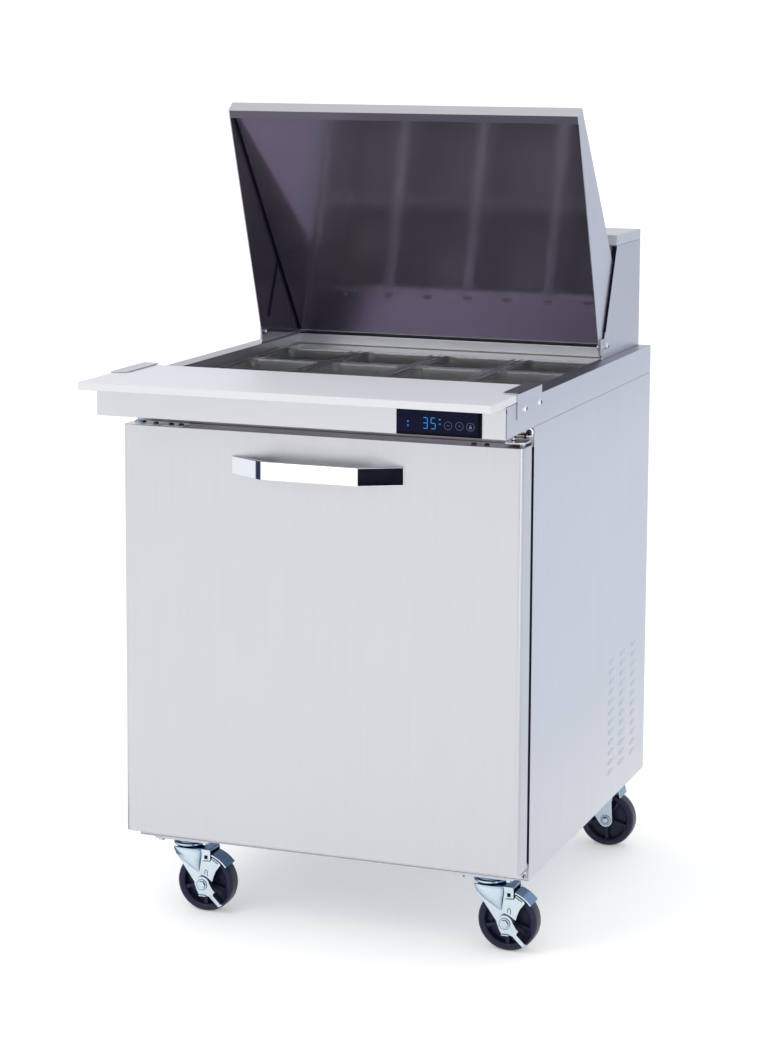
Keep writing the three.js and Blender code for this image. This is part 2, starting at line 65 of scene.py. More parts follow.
# cards seen only in reflections: size, place, facing, colour
CARDS = (
    ("handle_card", (0.55, 0.5), (1.853, -2.344, 0.337), (-0.643, 0.747, 0.17), (0.006, 0.007, 0.016, 1)),
    ("lid_card", (0.62, 0.75), (-0.70, -0.03, 0.012), (0, 0, 1), (0.33, 0.30, 0.40, 1)),
    ("side_card_low", (4.2, 0.76), (0.62, 1.75, 0.38), (-1, 0, 0), (0.86, 0.91, 1.0, 1)),
    ("side_card_high", (4.2, 1.1), (0.62, 1.75, 1.31), (-1, 0, 0), (0.71, 0.745, 0.86, 1)),
)

SHEET_BEVEL = 0.45  # rounding of sheet metal edges
SMOOTH_ANGLE = 38  # faces that meet at less than this are shaded as one

LID_FRONT = (-447.0, 3.0)  # the closed lid's front edge, from its pivot, in (y, z)
LID_SLOPE = 17.81
LID_OPEN = 71.0

LOUVER_COLUMNS = ((221, 268), (294, 340), (371, 413))
LOUVER_ROWS = (182, 18.5, 12)  # first height, pitch, count
DOOR_SEAL_SHOWS = 5.5
SEAL_GROW = 13.9  # how far the seal reaches past the CAD gasket, sideways

REAR_SCREWS = ((-330, 0, 330), (150, 500, 860))  # columns in x, rows in z
BRACKET_SCREWS = ((-314, 918), (-236, 918))  # in (y, z)
HINGE_ARM_END = 346
CLOSER_LEVEL = 865.5
SPARE_PLATES = ((-345, -284, 2), (-282, -240, 14))  # left end, right end, nose radius
SPARE_PLATE_EDGES = (-302, -264)  # near and far, in y
DOOR_TOP_SCREWS_Y = -289
DOOR_TOP_SCREWS = ((-296, 1.3), (-268, 1.3), (-250, 1.3), (261, 0), (283, 0))  # x, height of the seat

HOOD_EDGE = ((224, 930.3), (311, 1124.5))  # the hood's slanted front edge, in (y, z)
TRIM_SPAN = (0.24, 0.995)  # the part of that edge that has a trim

KEYS_X = (257, 275.5, 293.5)  # down, up, lock
DIGITS = "35"
DIGIT_SEGMENTS = {"3": "abcdg", "5": "acdfg"}

AXLE = (34, 51)  # a caster's axle, from its swivel and the floor, in (x, z)
BOLT_SPACING = (41, 27)
FORK_HALF = 21
# from a front caster's middle, along y
SHOE_PLATE = (-24.3, -21.4)
LEVER_PLATE = (-27.6, -24.6)
# the half cone pressed into a fork's leg: height, middle, half width and depth of each section
FORK_BULGE = ((111.5, 4, 25, 5.6), (108, 5, 26, 7), (100, 7, 24, 7.4), (91, 11, 18.5, 6.6),
              (83, 16.5, 12, 5.0), (76, 21.5, 6, 2.8), (70, 26, 1.2, 0.3))


def corners(node):
    """A CAD node's lowest and highest corners, in millimetres."""
    low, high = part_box(node)
    return low / MM, high / MM


def joint_place(name):
    """Where a joint of the frame stands, in millimetres."""
    found = [j for j in frame["joints"] if j["name"] == name]
    return Vector(found[0]["pos_m"]) / MM


# ---------------------------------------------------------------- shape building
def rounded(points, radii, steps=6):
    """A closed outline with a fillet at each corner; a radius of 0 keeps the corner."""
    out = []
    count = len(points)
    for i, point in enumerate(points):
        radius = radii[i] if isinstance(radii, (list, tuple)) else radii
        here = Vector(point)
        to_last = (Vector(points[i - 1]) - here).normalized()
        to_next = (Vector(points[(i + 1) % count]) - here).normalized()
        angle = to_last.angle(to_next)
        if radius <= 0 or angle > math.radians(179):
            out.append(tuple(here))
            continue
        reach = radius / math.tan(angle / 2)
        middle = here + (to_last + to_next).normalized() * (radius / math.sin(angle / 2))
        start = here + to_last * reach - middle
        end = here + to_next * reach - middle
        turn = start.angle_signed(end)
        for step in range(steps + 1):
            spoke = start.copy()
            spoke.rotate(Matrix.Rotation(-turn * step / steps, 2))
            out.append(tuple(middle + spoke))
    return out


def arc(cx, cy, radius, start, end, steps):
    """Points on an arc, in degrees."""
    angles = [math.radians(start + (end - start) * i / steps) for i in range(steps + 1)]
    return [(cx + radius * math.cos(a), cy + radius * math.sin(a)) for a in angles]


def circle(cx, cy, radius, sides):
    return arc(cx, cy, radius, 0, 360 - 360 / sides, sides - 1)


def rectangle(low, high):
    return [(low[0], low[1]), (high[0], low[1]), (high[0], high[1]), (low[0], high[1])]


def round_hard_edges(bm, width, steps, angle=40):
    """Bevels the edges whose faces meet at more than an angle."""
    hard = [
        edge
        for edge in bm.edges
        if len(edge.link_faces) == 2 and edge.calc_face_angle(0) > math.radians(angle)
    ]
    if hard:
        bmesh.ops.bevel(
            bm, geom=hard, offset=width, segments=steps, profile=0.5, affect="EDGES",
            clamp_overlap=True,
        )


class Shape:
    """One piece under construction: closed parts gathered in a mesh, in millimetres."""

    AXES = {"x": (1, 2, 0), "y": (0, 2, 1), "z": (0, 1, 2)}

    def __init__(self, offset=(0, 0, 0)):
        self.bm = bmesh.new()
        self.offset = Vector(offset)
        self.recess_shades = []

    def take(self, part, bevel=0.0, steps=2, turn=None):
        bmesh.ops.recalc_face_normals(part, faces=part.faces)
        if bevel > 0:
            round_hard_edges(part, bevel, steps)
        if turn is not None:
            part.transform(turn)
        carrier = bpy.data.meshes.new("carrier")
        part.to_mesh(carrier)
        self.bm.from_mesh(carrier)
        bpy.data.meshes.remove(carrier)
        part.free()
        return self

    def skin(self, rings, closed_path=False, caps=True, **how):
        """A skin through rings of points; each ring is a closed loop with the same count."""
        part = bmesh.new()
        loops = [[part.verts.new(p) for p in ring] for ring in rings]
        pairs = list(zip(loops, loops[1:]))
        if closed_path:
            pairs.append((loops[-1], loops[0]))
        for a, b in pairs:
            for i in range(len(a)):
                j = (i + 1) % len(a)
                part.faces.new((a[i], a[j], b[j], b[i]))
        if caps and not closed_path:
            part.faces.new(loops[0])
            part.faces.new(loops[-1])
        return self.take(part, **how)

    def ring(self, axis, outline, level):
        """An outline's points, set at a level along x, y or z."""
        first, second, along = self.AXES[axis]
        ring = []
        for a, b in outline:
            point = [0, 0, 0]
            point[first], point[second], point[along] = a, b, level
            ring.append(point)
        return ring

    def prism(self, axis, outline, span, **how):
        """An outline in (y, z), (x, z) or (x, y), extruded along x, y or z."""
        return self.skin([self.ring(axis, outline, level) for level in span], **how)

    def block(self, low, high, **how):
        return self.prism("z", rectangle(low, high), (low[2], high[2]), **how)

    def rod(self, axis, centre, radius, span, sides=24, **how):
        return self.prism(axis, circle(*centre, radius, sides), span, **how)

    def lathe(self, axis, centre, profile, sides=32, **how):
        """A shape turned round an axis, from (radius, level) points; it closes at radius 0."""
        rings = [self.ring(axis, circle(*centre, max(r, 0.01), sides), level) for r, level in profile]
        ring_shape = profile[0] == profile[-1]
        if ring_shape:
            rings = rings[:-1]
        return self.skin(rings, closed_path=ring_shape, **how)

    def tube(self, points, radius, sides=10, **how):
        """A round wire through points."""
        path = [Vector(p) for p in points]
        rings = []
        up = Vector((0, 0, 1))
        for i, point in enumerate(path):
            ahead = path[min(i + 1, len(path) - 1)] - path[max(i - 1, 0)]
            ahead.normalize()
            if abs(ahead.dot(up)) > 0.95:
                up = Vector((0, 1, 0))
            side = ahead.cross(up).normalized()
            top = side.cross(ahead).normalized()
            turns = [math.tau * k / sides for k in range(sides)]
            rings.append([point + (side * math.cos(t) + top * math.sin(t)) * radius for t in turns])
        return self.skin(rings, **how)

    def frame_ring(self, x, z, profile, **how):
        """A profile of (inset, y) points carried round a rectangle in (x, z), with mitred corners."""
        places = [(x[0], z[0], 1, 1), (x[1], z[0], -1, 1), (x[1], z[1], -1, -1), (x[0], z[1], 1, -1)]
        rings = []
        for cx, cz, sx, sz in places:
            rings.append([(cx + sx * inset, y, cz + sz * inset) for inset, y in profile])
        return self.skin(rings, closed_path=True, **how)

    def screw(self, at, facing, radius=4.2, height=2.2):
        """A low dome facing along an axis such as '-y'; done sets a dark cross in it, painted shade of its cross
        recess.
        """
        profile = [(1.0, -0.2), (1.0, 0.3), (0.93, 0.6), (0.72, 0.85), (0.45, 0.96), (0.01, 1.0)]
        normal = Vector([(1 if facing[0] == "+" else -1) * (axis == facing[1]) for axis in "xyz"])
        turn = Vector((0, 0, 1)).rotation_difference(normal).to_matrix().to_4x4()
        turn = Matrix.Translation(at) @ turn
        self.recess_shades.append((turn, radius, height))
        return self.lathe("z", (0, 0), [(r * radius, h * height) for r, h in profile], 24, turn=turn)

    def cross(self, turn, radius, height):
        """The dark cross of a screw's recess: a dark block that paints the recess's shade."""
        for long, wide in ((0.62, 0.24), (0.24, 0.62)):
            low = (-long * radius, -wide * radius, height * 0.5)
            high = (long * radius, wide * radius, height * 1.02)
            self.block(low, high, turn=turn)

    def done(self, name, body, slot, material, replaces=(), angle=SMOOTH_ANGLE):
        # the recesses are not cut: dark crosses stand in for them as painted shade
        if self.recess_shades:
            marks = Shape(self.offset)
            for recess in self.recess_shades:
                marks.cross(*recess)
            marks.done(f"{name}_recesses", body, slot, dark_steel)
        bmesh.ops.translate(self.bm, verts=self.bm.verts, vec=self.offset)
        bmesh.ops.scale(self.bm, verts=self.bm.verts, vec=(MM, MM, MM))
        place(name, self.bm, body, material, replaces, angle)

    def stand_for(self, node, name, material, angle=SMOOTH_ANGLE):
        """Ends a piece that replaces a CAD node, and so takes its body."""
        self.done(name, BODY_OF[node], SLOT_OF[node], material, [node], angle)


def add_object(name, data):
    made = bpy.data.objects.new(name, data)
    bpy.context.scene.collection.objects.link(made)
    return made


def place(name, bm, body, material, replaces=(), angle=SMOOTH_ANGLE):
    """Makes an object of finished geometry, shades it and ties it to its body."""
    mesh = bpy.data.meshes.new(name)
    bm.to_mesh(mesh)
    bm.free()
    mesh.shade_smooth()
    mesh.set_sharp_from_angle(angle=math.radians(angle))
    mesh.materials.clear()
    mesh.materials.append(material)
    piece = add_object(name, mesh)
    weighted = piece.modifiers.new("even_normals", "WEIGHTED_NORMAL")
    weighted.keep_sharp = True
    weighted.weight = 90
    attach(piece, body)
    if replaces:
        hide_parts(*replaces)
    return piece


BODY_OF = {node: body for body, nodes in frame["record"]["behaviour"]["bodies"].items() for node in nodes}
SLOT_OF = {part["node"]: part["material_slot"] for part in frame["record"]["subparts"]}


def dressed(node, material, width=SHEET_BEVEL, steps=2):
    """A copy of a CAD node with rounded edges, which stands for it."""
    bm = bmesh.new()
    bm.from_mesh(frame["nodes"][node].data)
    bmesh.ops.remove_doubles(bm, verts=bm.verts, dist=1e-5)
    bmesh.ops.dissolve_limit(bm, angle_limit=math.radians(0.5), verts=bm.verts, edges=bm.edges)
    round_hard_edges(bm, width * MM, steps)
    return place(f"{node}_finish", bm, BODY_OF[node], material, [node])


# ---------------------------------------------------------------- materials
class Paint:
    """A node material on one Principled shader, read from the object's own coordinates."""

    def __init__(self, name, **sockets):
        self.mat = bpy.data.materials.new(name)
        self.mat.use_nodes = True
        self.tree = self.mat.node_tree
        self.shader = self.tree.nodes["Principled BSDF"]
        for socket, value in sockets.items():
            self.shader.inputs[socket.replace("_", " ")].default_value = value
        source = self.node("ShaderNodeTexCoord")
        self.coords = source.outputs["Object"]
        self.normals = source.outputs["Normal"]

    def node(self, kind, *values, **settings):
        made = self.tree.nodes.new(kind)
        for key, value in settings.items():
            setattr(made, key, value)
        for index, value in enumerate(values):
            self.feed(made.inputs[index], value)
        return made

    def feed(self, socket, value):
        if isinstance(value, bpy.types.NodeSocket):
            self.tree.links.new(value, socket)
        elif value is not None:
            socket.default_value = value

    def noise(self, scale, detail=2.0):
        """Noise with its own scale on each axis, in features per metre."""
        stretch = self.node("ShaderNodeMapping", self.coords, None, None, scale)
        made = self.node("ShaderNodeTexNoise")
        self.feed(made.inputs["Vector"], stretch.outputs[0])
        self.feed(made.inputs["Scale"], 1.0)
        self.feed(made.inputs["Detail"], detail)
        return made.outputs[0]

    def spread(self, value, low, high, source=(0.3, 0.7)):
        return self.node("ShaderNodeMapRange", value, *source, low, high).outputs[0]

    def blend(self, factor, a, b):
        made = self.node("ShaderNodeMix", data_type="RGBA")
        for index, value in ((0, factor), (6, a), (7, b)):
            self.feed(made.inputs[index], value)
        return made.outputs[2]

    def math(self, operation, a, b=None):
        return self.node("ShaderNodeMath", a, b, operation=operation).outputs[0]

    def upward(self):
        """1 on the faces that look up and 0 on the others."""
        facing = self.node("ShaderNodeSeparateXYZ", self.normals).outputs["Z"]
        return self.spread(facing, 0, 1, (0.7, 0.95))

    def colour(self, value):
        self.feed(self.shader.inputs["Base Color"], value)
        return self

    def mottle(self, pattern, a, b):
        """The base colour, from a to b by a noise pattern."""
        return self.colour(self.blend(self.spread(pattern, 0, 1), a, b))

    def rough(self, value):
        self.feed(self.shader.inputs["Roughness"], value)
        return self

    def bump(self, height, depth, strength=1.0):
        """Bump from a height of 0 to 1 that stands for a depth in metres."""
        made = self.node("ShaderNodeBump")
        self.feed(made.inputs["Strength"], strength)
        self.feed(made.inputs["Distance"], depth)
        self.feed(made.inputs["Height"], height)
        self.feed(self.shader.inputs["Normal"], made.outputs[0])
        return self


def rgb(red, green, blue):
    return (red, green, blue, 1.0)


def darker(colour, by):
    return rgb(*(channel * by for channel in colour[:3]))


def brushed(name, colour, grain, roughness=(0.29, 0.35), depth=4e-6, metallic=1.0, top=None):
    """Brushed sheet: fine streaks along the grain, with faint handling marks; top, if given, is the colour of
    the faces that look up, a painted shade and reflection."""
    paint = Paint(name, Metallic=metallic)
    along = tuple(9 if axis == grain else 1900 for axis in "xyz")
    broad = tuple(value / 6 if value > 100 else value / 2 for value in along)
    fine = paint.noise(along, 3.0)
    wide = paint.noise(broad, 2.0)
    smudge = paint.noise((7, 7, 7), 3.0)
    low, high = roughness
    streaks = paint.spread(paint.math("ADD", fine, wide), low, high, (0.75, 1.25))
    marks = paint.spread(smudge, -0.015, 0.025)
    paint.rough(paint.math("ADD", streaks, marks))
    sheet = paint.blend(paint.spread(wide, 0, 1), colour, darker(colour, 0.985))
    # faces that look up take the top colour: painted shade and reflection
    paint.colour(paint.blend(paint.upward(), sheet, top) if top else sheet)
    return paint.bump(fine, depth, 0.5).mat


def plated(name, colour, roughness, tint, depth=8e-6):
    """Plated pressings: a bright colour with cloudy tint and soft ripples."""
    paint = Paint(name, Metallic=1.0)
    cloud = paint.noise((60, 60, 60), 4.0)
    spangle = paint.noise((350, 350, 350), 2.0)
    low, high = roughness
    paint.mottle(cloud, colour, tint)
    paint.rough(paint.spread(spangle, low, high))
    return paint.bump(cloud, depth).mat


def zinc_painted_shade(name, pale, deep):
    """Zinc plate with a light blue passivation, and painted light and shade: pale as painted reflection on the
    pressings' flanks and undersides, a deep blue painted shade on their curved and upward faces and in their
    folds."""
    paint = Paint(name, Metallic=1.0)
    cloud = paint.noise((60, 60, 60), 4.0)
    spangle = paint.noise((350, 350, 350), 2.0)
    facing = paint.node("ShaderNodeSeparateXYZ", paint.normals).outputs
    flank = paint.spread(paint.math("ABSOLUTE", facing["Y"]), 0.1, 1, (0.74, 1.0))
    underside = paint.spread(facing["Z"], 1, 0, (-0.9, -0.3))
    # ambient occlusion darkens the folds: painted shade
    crease_shade = paint.node("ShaderNodeAmbientOcclusion", None, 0.012, samples=8, only_local=True)
    open_face = paint.spread(crease_shade.outputs["AO"], 0, 1, (0.3, 0.85))
    # pale where painted lit, deep blue elsewhere: painted light and shade
    painted_light_amount = paint.math("MULTIPLY", paint.math("MAXIMUM", flank, underside), open_face)
    mottled = paint.blend(paint.spread(cloud, 0, 1), pale, darker(pale, 0.9))
    paint.colour(paint.blend(painted_light_amount, deep, mottled))
    paint.rough(paint.spread(spangle, 0.14, 0.26))
    return paint.bump(cloud, 3e-5).mat


def moulded(name, colour, roughness, grain_size=900, depth=2e-5, fade=0.8, **sockets):
    """Plastic or rubber: a fine leathery grain with slight colour change."""
    paint = Paint(name, **sockets)
    grain = paint.noise((grain_size,) * 3, 3.0)
    cloud = paint.noise((18, 18, 18), 3.0)
    low, high = roughness
    paint.mottle(cloud, colour, darker(colour, fade))
    paint.rough(paint.spread(grain, low, high))
    return paint.bump(grain, depth, 0.5).mat


def cutting_plastic(name):
    """White polyethylene: a soft grain, with faint knife marks across it, and painted light and shade: its top a
    lighter, bluer white than its sides.
    """
    paint = Paint(name)
    grain = paint.noise((500, 500, 500), 3.0)
    cuts = paint.noise((26, 900, 26), 2.0)
    slants = paint.noise((700, 60, 30), 2.0)
    marks = paint.spread(paint.math("ADD", cuts, slants), 0, 1, (1.15, 1.35))
    top = paint.blend(marks, rgb(0.73, 0.745, 0.81), rgb(0.69, 0.705, 0.77))
    # sides darker than the top: painted light and shade
    paint.colour(paint.blend(paint.upward(), rgb(0.64, 0.65, 0.675), top))
    paint.rough(paint.spread(grain, 0.38, 0.5))
    return paint.bump(marks, 3e-5, 0.5).mat


def polycarbonate(name):
    paint = Paint(name, Transmission_Weight=0.95, IOR=1.45)
    wear = paint.noise((40, 40, 40), 4.0)
    scratches = paint.noise((120, 120, 900), 2.0)
    paint.mottle(wear, rgb(0.96, 0.97, 0.98), rgb(0.90, 0.92, 0.94))
    paint.rough(paint.spread(wear, 0.03, 0.10))
    return paint.bump(scratches, 1e-5, 0.3).mat


def display_glass(name):
    paint = Paint(name, Specular_IOR_Level=0.06)
    dust = paint.noise((90, 90, 90), 4.0)
    paint.mottle(dust, rgb(0.004, 0.006, 0.020), rgb(0.005, 0.007, 0.024))
    paint.rough(paint.spread(dust, 0.06, 0.14))
    return paint.mat


def handle_chrome(name, bend):
    """Polished chrome, with a painted reflection of the room's dark in its left bend, at an x in metres, and
    painted shade and reflection on the upper face."""
    paint = Paint(name, Metallic=1.0)
    cloud = paint.noise((60, 60, 60), 4.0)
    x = paint.node("ShaderNodeSeparateXYZ", paint.coords).outputs["X"]
    # the slanted face left of the bend is painted a duller blue grey and the bend a near-black band: painted
    # reflection
    slanted = paint.spread(x, 1, 0, (bend - 0.012, bend - 0.009))
    painted_dark_band = paint.math("SUBTRACT", paint.spread(x, 1, 0, (bend, bend + 0.002)), slanted)
    plate = paint.blend(slanted, rgb(0.88, 0.89, 0.92), rgb(0.68, 0.71, 0.78))
    plate = paint.blend(painted_dark_band, plate, rgb(0.02, 0.02, 0.07))
    # the upper face is painted dark mauve: painted shade and reflection
    paint.colour(paint.blend(paint.upward(), plate, rgb(0.17, 0.15, 0.22)))
    paint.rough(paint.spread(cloud, 0.03, 0.07))
    return paint.bump(cloud, 2e-6).mat


def lamp(name, colour, strength):
    """A lit segment behind the window, its glow varied by a noise."""
    paint = Paint(name, Emission_Color=colour, Emission_Strength=strength)
    glow = paint.noise((300, 300, 300), 1.0)
    paint.colour(paint.blend(glow, colour, darker(colour, 0.7)))
    paint.rough(paint.spread(glow, 0.3, 0.4))
    return paint.mat


STEEL = rgb(0.60, 0.61, 0.645)
steel_x = brushed("steel_grain_x", STEEL, "x")
# the brackets' upward faces get a darker mauve grey: painted shade and reflection
steel_y = brushed("steel_grain_y", STEEL, "y", top=rgb(0.46, 0.45, 0.52))
steel_z = brushed("steel_grain_z", STEEL, "z", (0.31, 0.37))
# the door's top is painted dark mauve: painted reflection of the apron's underside, and painted shade
steel_door = brushed("steel_door", rgb(0.575, 0.58, 0.61), "z", (0.33, 0.39),
                     top=rgb(0.40, 0.35, 0.42))
# the worktop's upward faces get a dark blue grey: painted reflection and shade
steel_top = brushed("steel_top", STEEL, "x", top=rgb(0.31, 0.31, 0.385))
# the hood takes the cabinet steel darkened: painted shade
steel_hood = brushed("steel_hood", darker(STEEL, 0.9), "z", (0.31, 0.37))
# the cap's upward faces are the steel darkened: painted shade and reflection
steel_cap = brushed("steel_cap", STEEL, "x", top=darker(STEEL, 0.68))
steel_well = brushed("steel_well", rgb(0.42, 0.42, 0.46), "x", (0.16, 0.24))
# the front frame takes a darker, mauve-tinted copy of the steel: painted shade
steel_frame = brushed("steel_frame", rgb(0.53, 0.525, 0.56), "x")
# the lid's polished steel is darkened and mauve-tinted: painted reflection
steel_polished = brushed("steel_polished", rgb(0.30, 0.265, 0.335), "x", (0.10, 0.15), 2e-6, 0.85)
galvanised = plated("galvanised", rgb(0.55, 0.58, 0.62), (0.32, 0.46), rgb(0.47, 0.50, 0.55), 3e-5)
# the deep blue is painted shade on the casters' zinc
zinc = zinc_painted_shade("zinc", rgb(0.62, 0.72, 0.78), rgb(0.09, 0.19, 0.34))
chrome = plated("chrome", rgb(0.88, 0.89, 0.92), (0.03, 0.07), rgb(0.84, 0.86, 0.90), 2e-6)
brass = plated("brass", rgb(0.62, 0.52, 0.36), (0.2, 0.32), rgb(0.50, 0.42, 0.30))
aluminium = plated("aluminium", rgb(0.62, 0.64, 0.66), (0.3, 0.42), rgb(0.55, 0.57, 0.60))
copper = plated("copper", rgb(0.60, 0.30, 0.18), (0.2, 0.34), rgb(0.50, 0.24, 0.14))
dark_steel = plated("dark_steel", rgb(0.07, 0.07, 0.09), (0.3, 0.42), rgb(0.05, 0.05, 0.07))
bezel_plastic = moulded("bezel_plastic", rgb(0.003, 0.003, 0.007), (0.45, 0.6),
                        Specular_IOR_Level=0.05)
rubber = moulded("rubber", rgb(0.006, 0.006, 0.020), (0.5, 0.65), Specular_IOR_Level=0.06)
wheel_plastic = moulded("wheel_plastic", rgb(0.009, 0.012, 0.040), (0.3, 0.42), 700,
                        Specular_IOR_Level=0.28)
# a near-black steel for the lid's front return: painted shade
steel_shade = brushed("steel_shade", rgb(0.10, 0.088, 0.118), "x", (0.14, 0.2), 2e-6, 0.9)
liner_plastic = moulded("liner_plastic", rgb(0.80, 0.81, 0.83), (0.25, 0.38), 400, 3e-5, 0.96)
foam_material = moulded("foam_core_foam", rgb(0.74, 0.64, 0.42), (0.8, 0.95), 300, 4e-4, 0.8)
enamel = moulded("enamel", rgb(0.02, 0.02, 0.024), (0.25, 0.4), 250, 4e-5)
board_plastic = cutting_plastic("board_plastic")
clear_plastic = polycarbonate("clear_plastic")
glass = display_glass("display_glass")
blue_lamp = lamp("blue_lamp", rgb(0.004, 0.15, 0.47), 0.8)
chrome_handle = handle_chrome("chrome_handle", -0.084)
key_print = moulded("key_print", rgb(0.12, 0.15, 0.26), (0.3, 0.4))

# the record's slot and the material of the finishes that several pieces share
CHROME = ("chrome_trim", chrome)
ZINC = ("zinc_plated", zinc)
RUBBER = ("black_rubber", rubber)
DARK = ("black_enamel", dark_steel)


# ---------------------------------------------------------------- camera, lights, floor
def stand(name, data, at, facing, axis):
    """A new object at a place, with one of its axes turned to a direction."""
    made = add_object(name, data)
    made.location = at
    made.rotation_mode = "QUATERNION"
    made.rotation_quaternion = Vector(facing).to_track_quat(axis, "Y")
    return made


def add_camera():
    camera = stand("camera", bpy.data.cameras.new("camera"), CAMERA_AT, CAMERA_FORWARD, "-Z")
    camera.rotation_quaternion.rotate(Matrix.Rotation(math.radians(CAMERA_ROLL), 3, CAMERA_FORWARD))
    camera.data.lens = LENS
    camera.data.sensor_width = 36
    camera.data.shift_y = SHIFT_Y
    camera.data.clip_end = 200
    bpy.context.scene.camera = camera


def flat_stage(name, size, at, facing, material, only_reflected=False):
    """A flat stage piece; a card shows only in reflections."""
    mesh = bpy.data.meshes.new(name)
    x, y = size[0] / 2, size[1] / 2
    mesh.from_pydata([(-x, -y, 0), (x, -y, 0), (x, y, 0), (-x, y, 0)], [], [(0, 1, 2, 3)])
    mesh.materials.append(material)
    card = stand(name, mesh, at, facing, "Z")
    if only_reflected:
        card.visible_camera = False
        card.visible_shadow = False
        card.visible_diffuse = False
        card.visible_transmission = False


def glowing(name, colour):
    mat = bpy.data.materials.new(name)
    mat.use_nodes = True
    nodes = mat.node_tree.nodes
    nodes.clear()
    light = nodes.new("ShaderNodeEmission")
    light.inputs[0].default_value = colour
    out = nodes.new("ShaderNodeOutputMaterial")
    mat.node_tree.links.new(light.outputs[0], out.inputs[0])
    return mat


def area_light(name, at, aim, size, watts, colour=(1, 1, 1)):
    lamp_data = bpy.data.lights.new(name, "AREA")
    lamp_data.shape = "RECTANGLE"
    lamp_data.size, lamp_data.size_y = size
    lamp_data.energy = watts
    lamp_data.color = colour
    made = stand(name, lamp_data, at, Vector(aim) - Vector(at), "-Z")
    made.visible_camera = False


def set_stage():
    scene = bpy.context.scene
    scene.view_settings.view_transform = "Standard"
    world = bpy.data.worlds.new("studio")
    world.use_nodes = True
    background = world.node_tree.nodes["Background"]
    direction = world.node_tree.nodes.new("ShaderNodeTexCoord")
    height = world.node_tree.nodes.new("ShaderNodeSeparateXYZ")
    level = world.node_tree.nodes.new("ShaderNodeMapRange")
    for socket, value in zip(level.inputs[1:5], (0.1, 0.6, HORIZON_LIGHT, ZENITH_LIGHT)):
        socket.default_value = value
    world.node_tree.links.new(direction.outputs["Generated"], height.inputs[0])
    world.node_tree.links.new(height.outputs["Z"], level.inputs[0])
    world.node_tree.links.new(level.outputs[0], background.inputs["Strength"])
    background.inputs["Color"].default_value = (1.0, 1.0, 1.0, 1)
    scene.world = world

    floor_paint = Paint("pale_floor", Specular_IOR_Level=0.2, Emission_Strength=FLOOR_GLOW)
    floor_paint.shader.inputs["Emission Color"].default_value = rgb(1.0, 1.0, 1.0)
    grain = floor_paint.noise((3, 3, 3), 3.0)
    floor_paint.colour(floor_paint.blend(grain, rgb(0.90, 0.90, 0.90), rgb(0.93, 0.93, 0.93)))
    floor_paint.rough(floor_paint.spread(grain, 0.6, 0.7))
    flat_stage("floor", (80, 80), (0, 0, 0), (0, 0, 1), floor_paint.mat)

    area_light("key", (-2.2, -3.4, 3.6), (0, 0, 0.6), (2.4, 2.4), 45, (1.0, 0.99, 0.97))
    area_light("edge", (3.6, -2.0, 0.7), (0.35, -0.3, 0.5), (0.7, 2.4), 10)
    for name, size, at, facing, colour in CARDS:
        flat_stage(name, size, at, facing, glowing(f"{name}_glow", colour), True)


# ---------------------------------------------------------------- cabinet
def cabinet_sheets():
    dressed("left_side_panel", steel_z)
    dressed("right_side_panel", steel_z)
    dressed("rear_panel", galvanised)
    dressed("base_pan", galvanised)
    dressed("front_frame", steel_frame)
    dressed("inner_liner", liner_plastic)
    dressed("foam_core", foam_material, 1.0)
    dressed("well_liner", steel_well)
    dressed("worktop", steel_top, 0.7, 3)
    for k in (1, 2, 3):
        dressed(f"divider_bar_{k}", steel_well, 1.0, 3)


def worktop_seams():
    """The dark joints where the apron meets the worktop's sides."""
    low, high = corners("worktop")
    seams = Shape()
    for side in (-1, 1):
        x = side * high.x
        across = sorted((x - side * 0.4, x + side * 0.3))
        seams.block((across[0], low.y + 2.2, low.z + 2), (across[1], low.y + 3.2, high.z - 1.2))
        y, z = low.y, high.z
        seams.tube([(x, y + 3, z - 2), (x, y + 5, z - 6), (x, y + 5.6, z - 10)], 0.5, 6)
    seams.done("worktop_seams", "cabinet", *RUBBER)


def louvers():
    """The stamped hoods over the slots of the right side panel."""
    shape = Shape()
    wall = corners("right_side_panel")[1].x
    first, pitch, count = LOUVER_ROWS
    for low, high in LOUVER_COLUMNS:
        for row in range(count):
            louver(shape, wall, low, high, first + pitch * row)
    shape.done("louver_hoods", "cabinet", "stainless_brushed", steel_z)


def louver(shape, wall, low, high, level):
    """One hood: a bulge that ends in a straight lip above its slot."""
    rings = []
    steps = 14
    for i in range(steps + 1):
        along = low + (high - low) * i / steps
        rise = (1 - abs(2 * i / steps - 1) ** 3.0) ** 0.6
        rise = max(rise, 0.03)
        outer = [(wall + 2.0 * rise * math.sin(t), level - 2.2 + 7.4 * rise * math.cos(t))
                 for t in (math.radians(a) for a in (90, 70, 50, 30, 12, 0))]
        inner = [(wall - 0.6, level - 2.2 + 7.4 * rise), (wall - 0.6, level - 2.2)]
        rings.append([(x, along, z) for x, z in outer + inner])
    shape.skin(rings)


def rear_fittings():
    shape = Shape()
    back = corners("rear_panel")[1].y
    shape.lathe("y", (-280, 200), [(6, back - 3), (6, back + 2.5), (10, back + 2.5), (13, back + 0.6),
                                   (13, back - 3), (6, back - 3)], bevel=0.4)
    shape.done("cord_gland", "cabinet", *RUBBER)
    screws = Shape()
    for x in REAR_SCREWS[0]:
        for z in REAR_SCREWS[1]:
            screws.screw((x, back, z), "+y", 4.2, 2)
    screws.done("rear_screws", "cabinet", *ZINC)


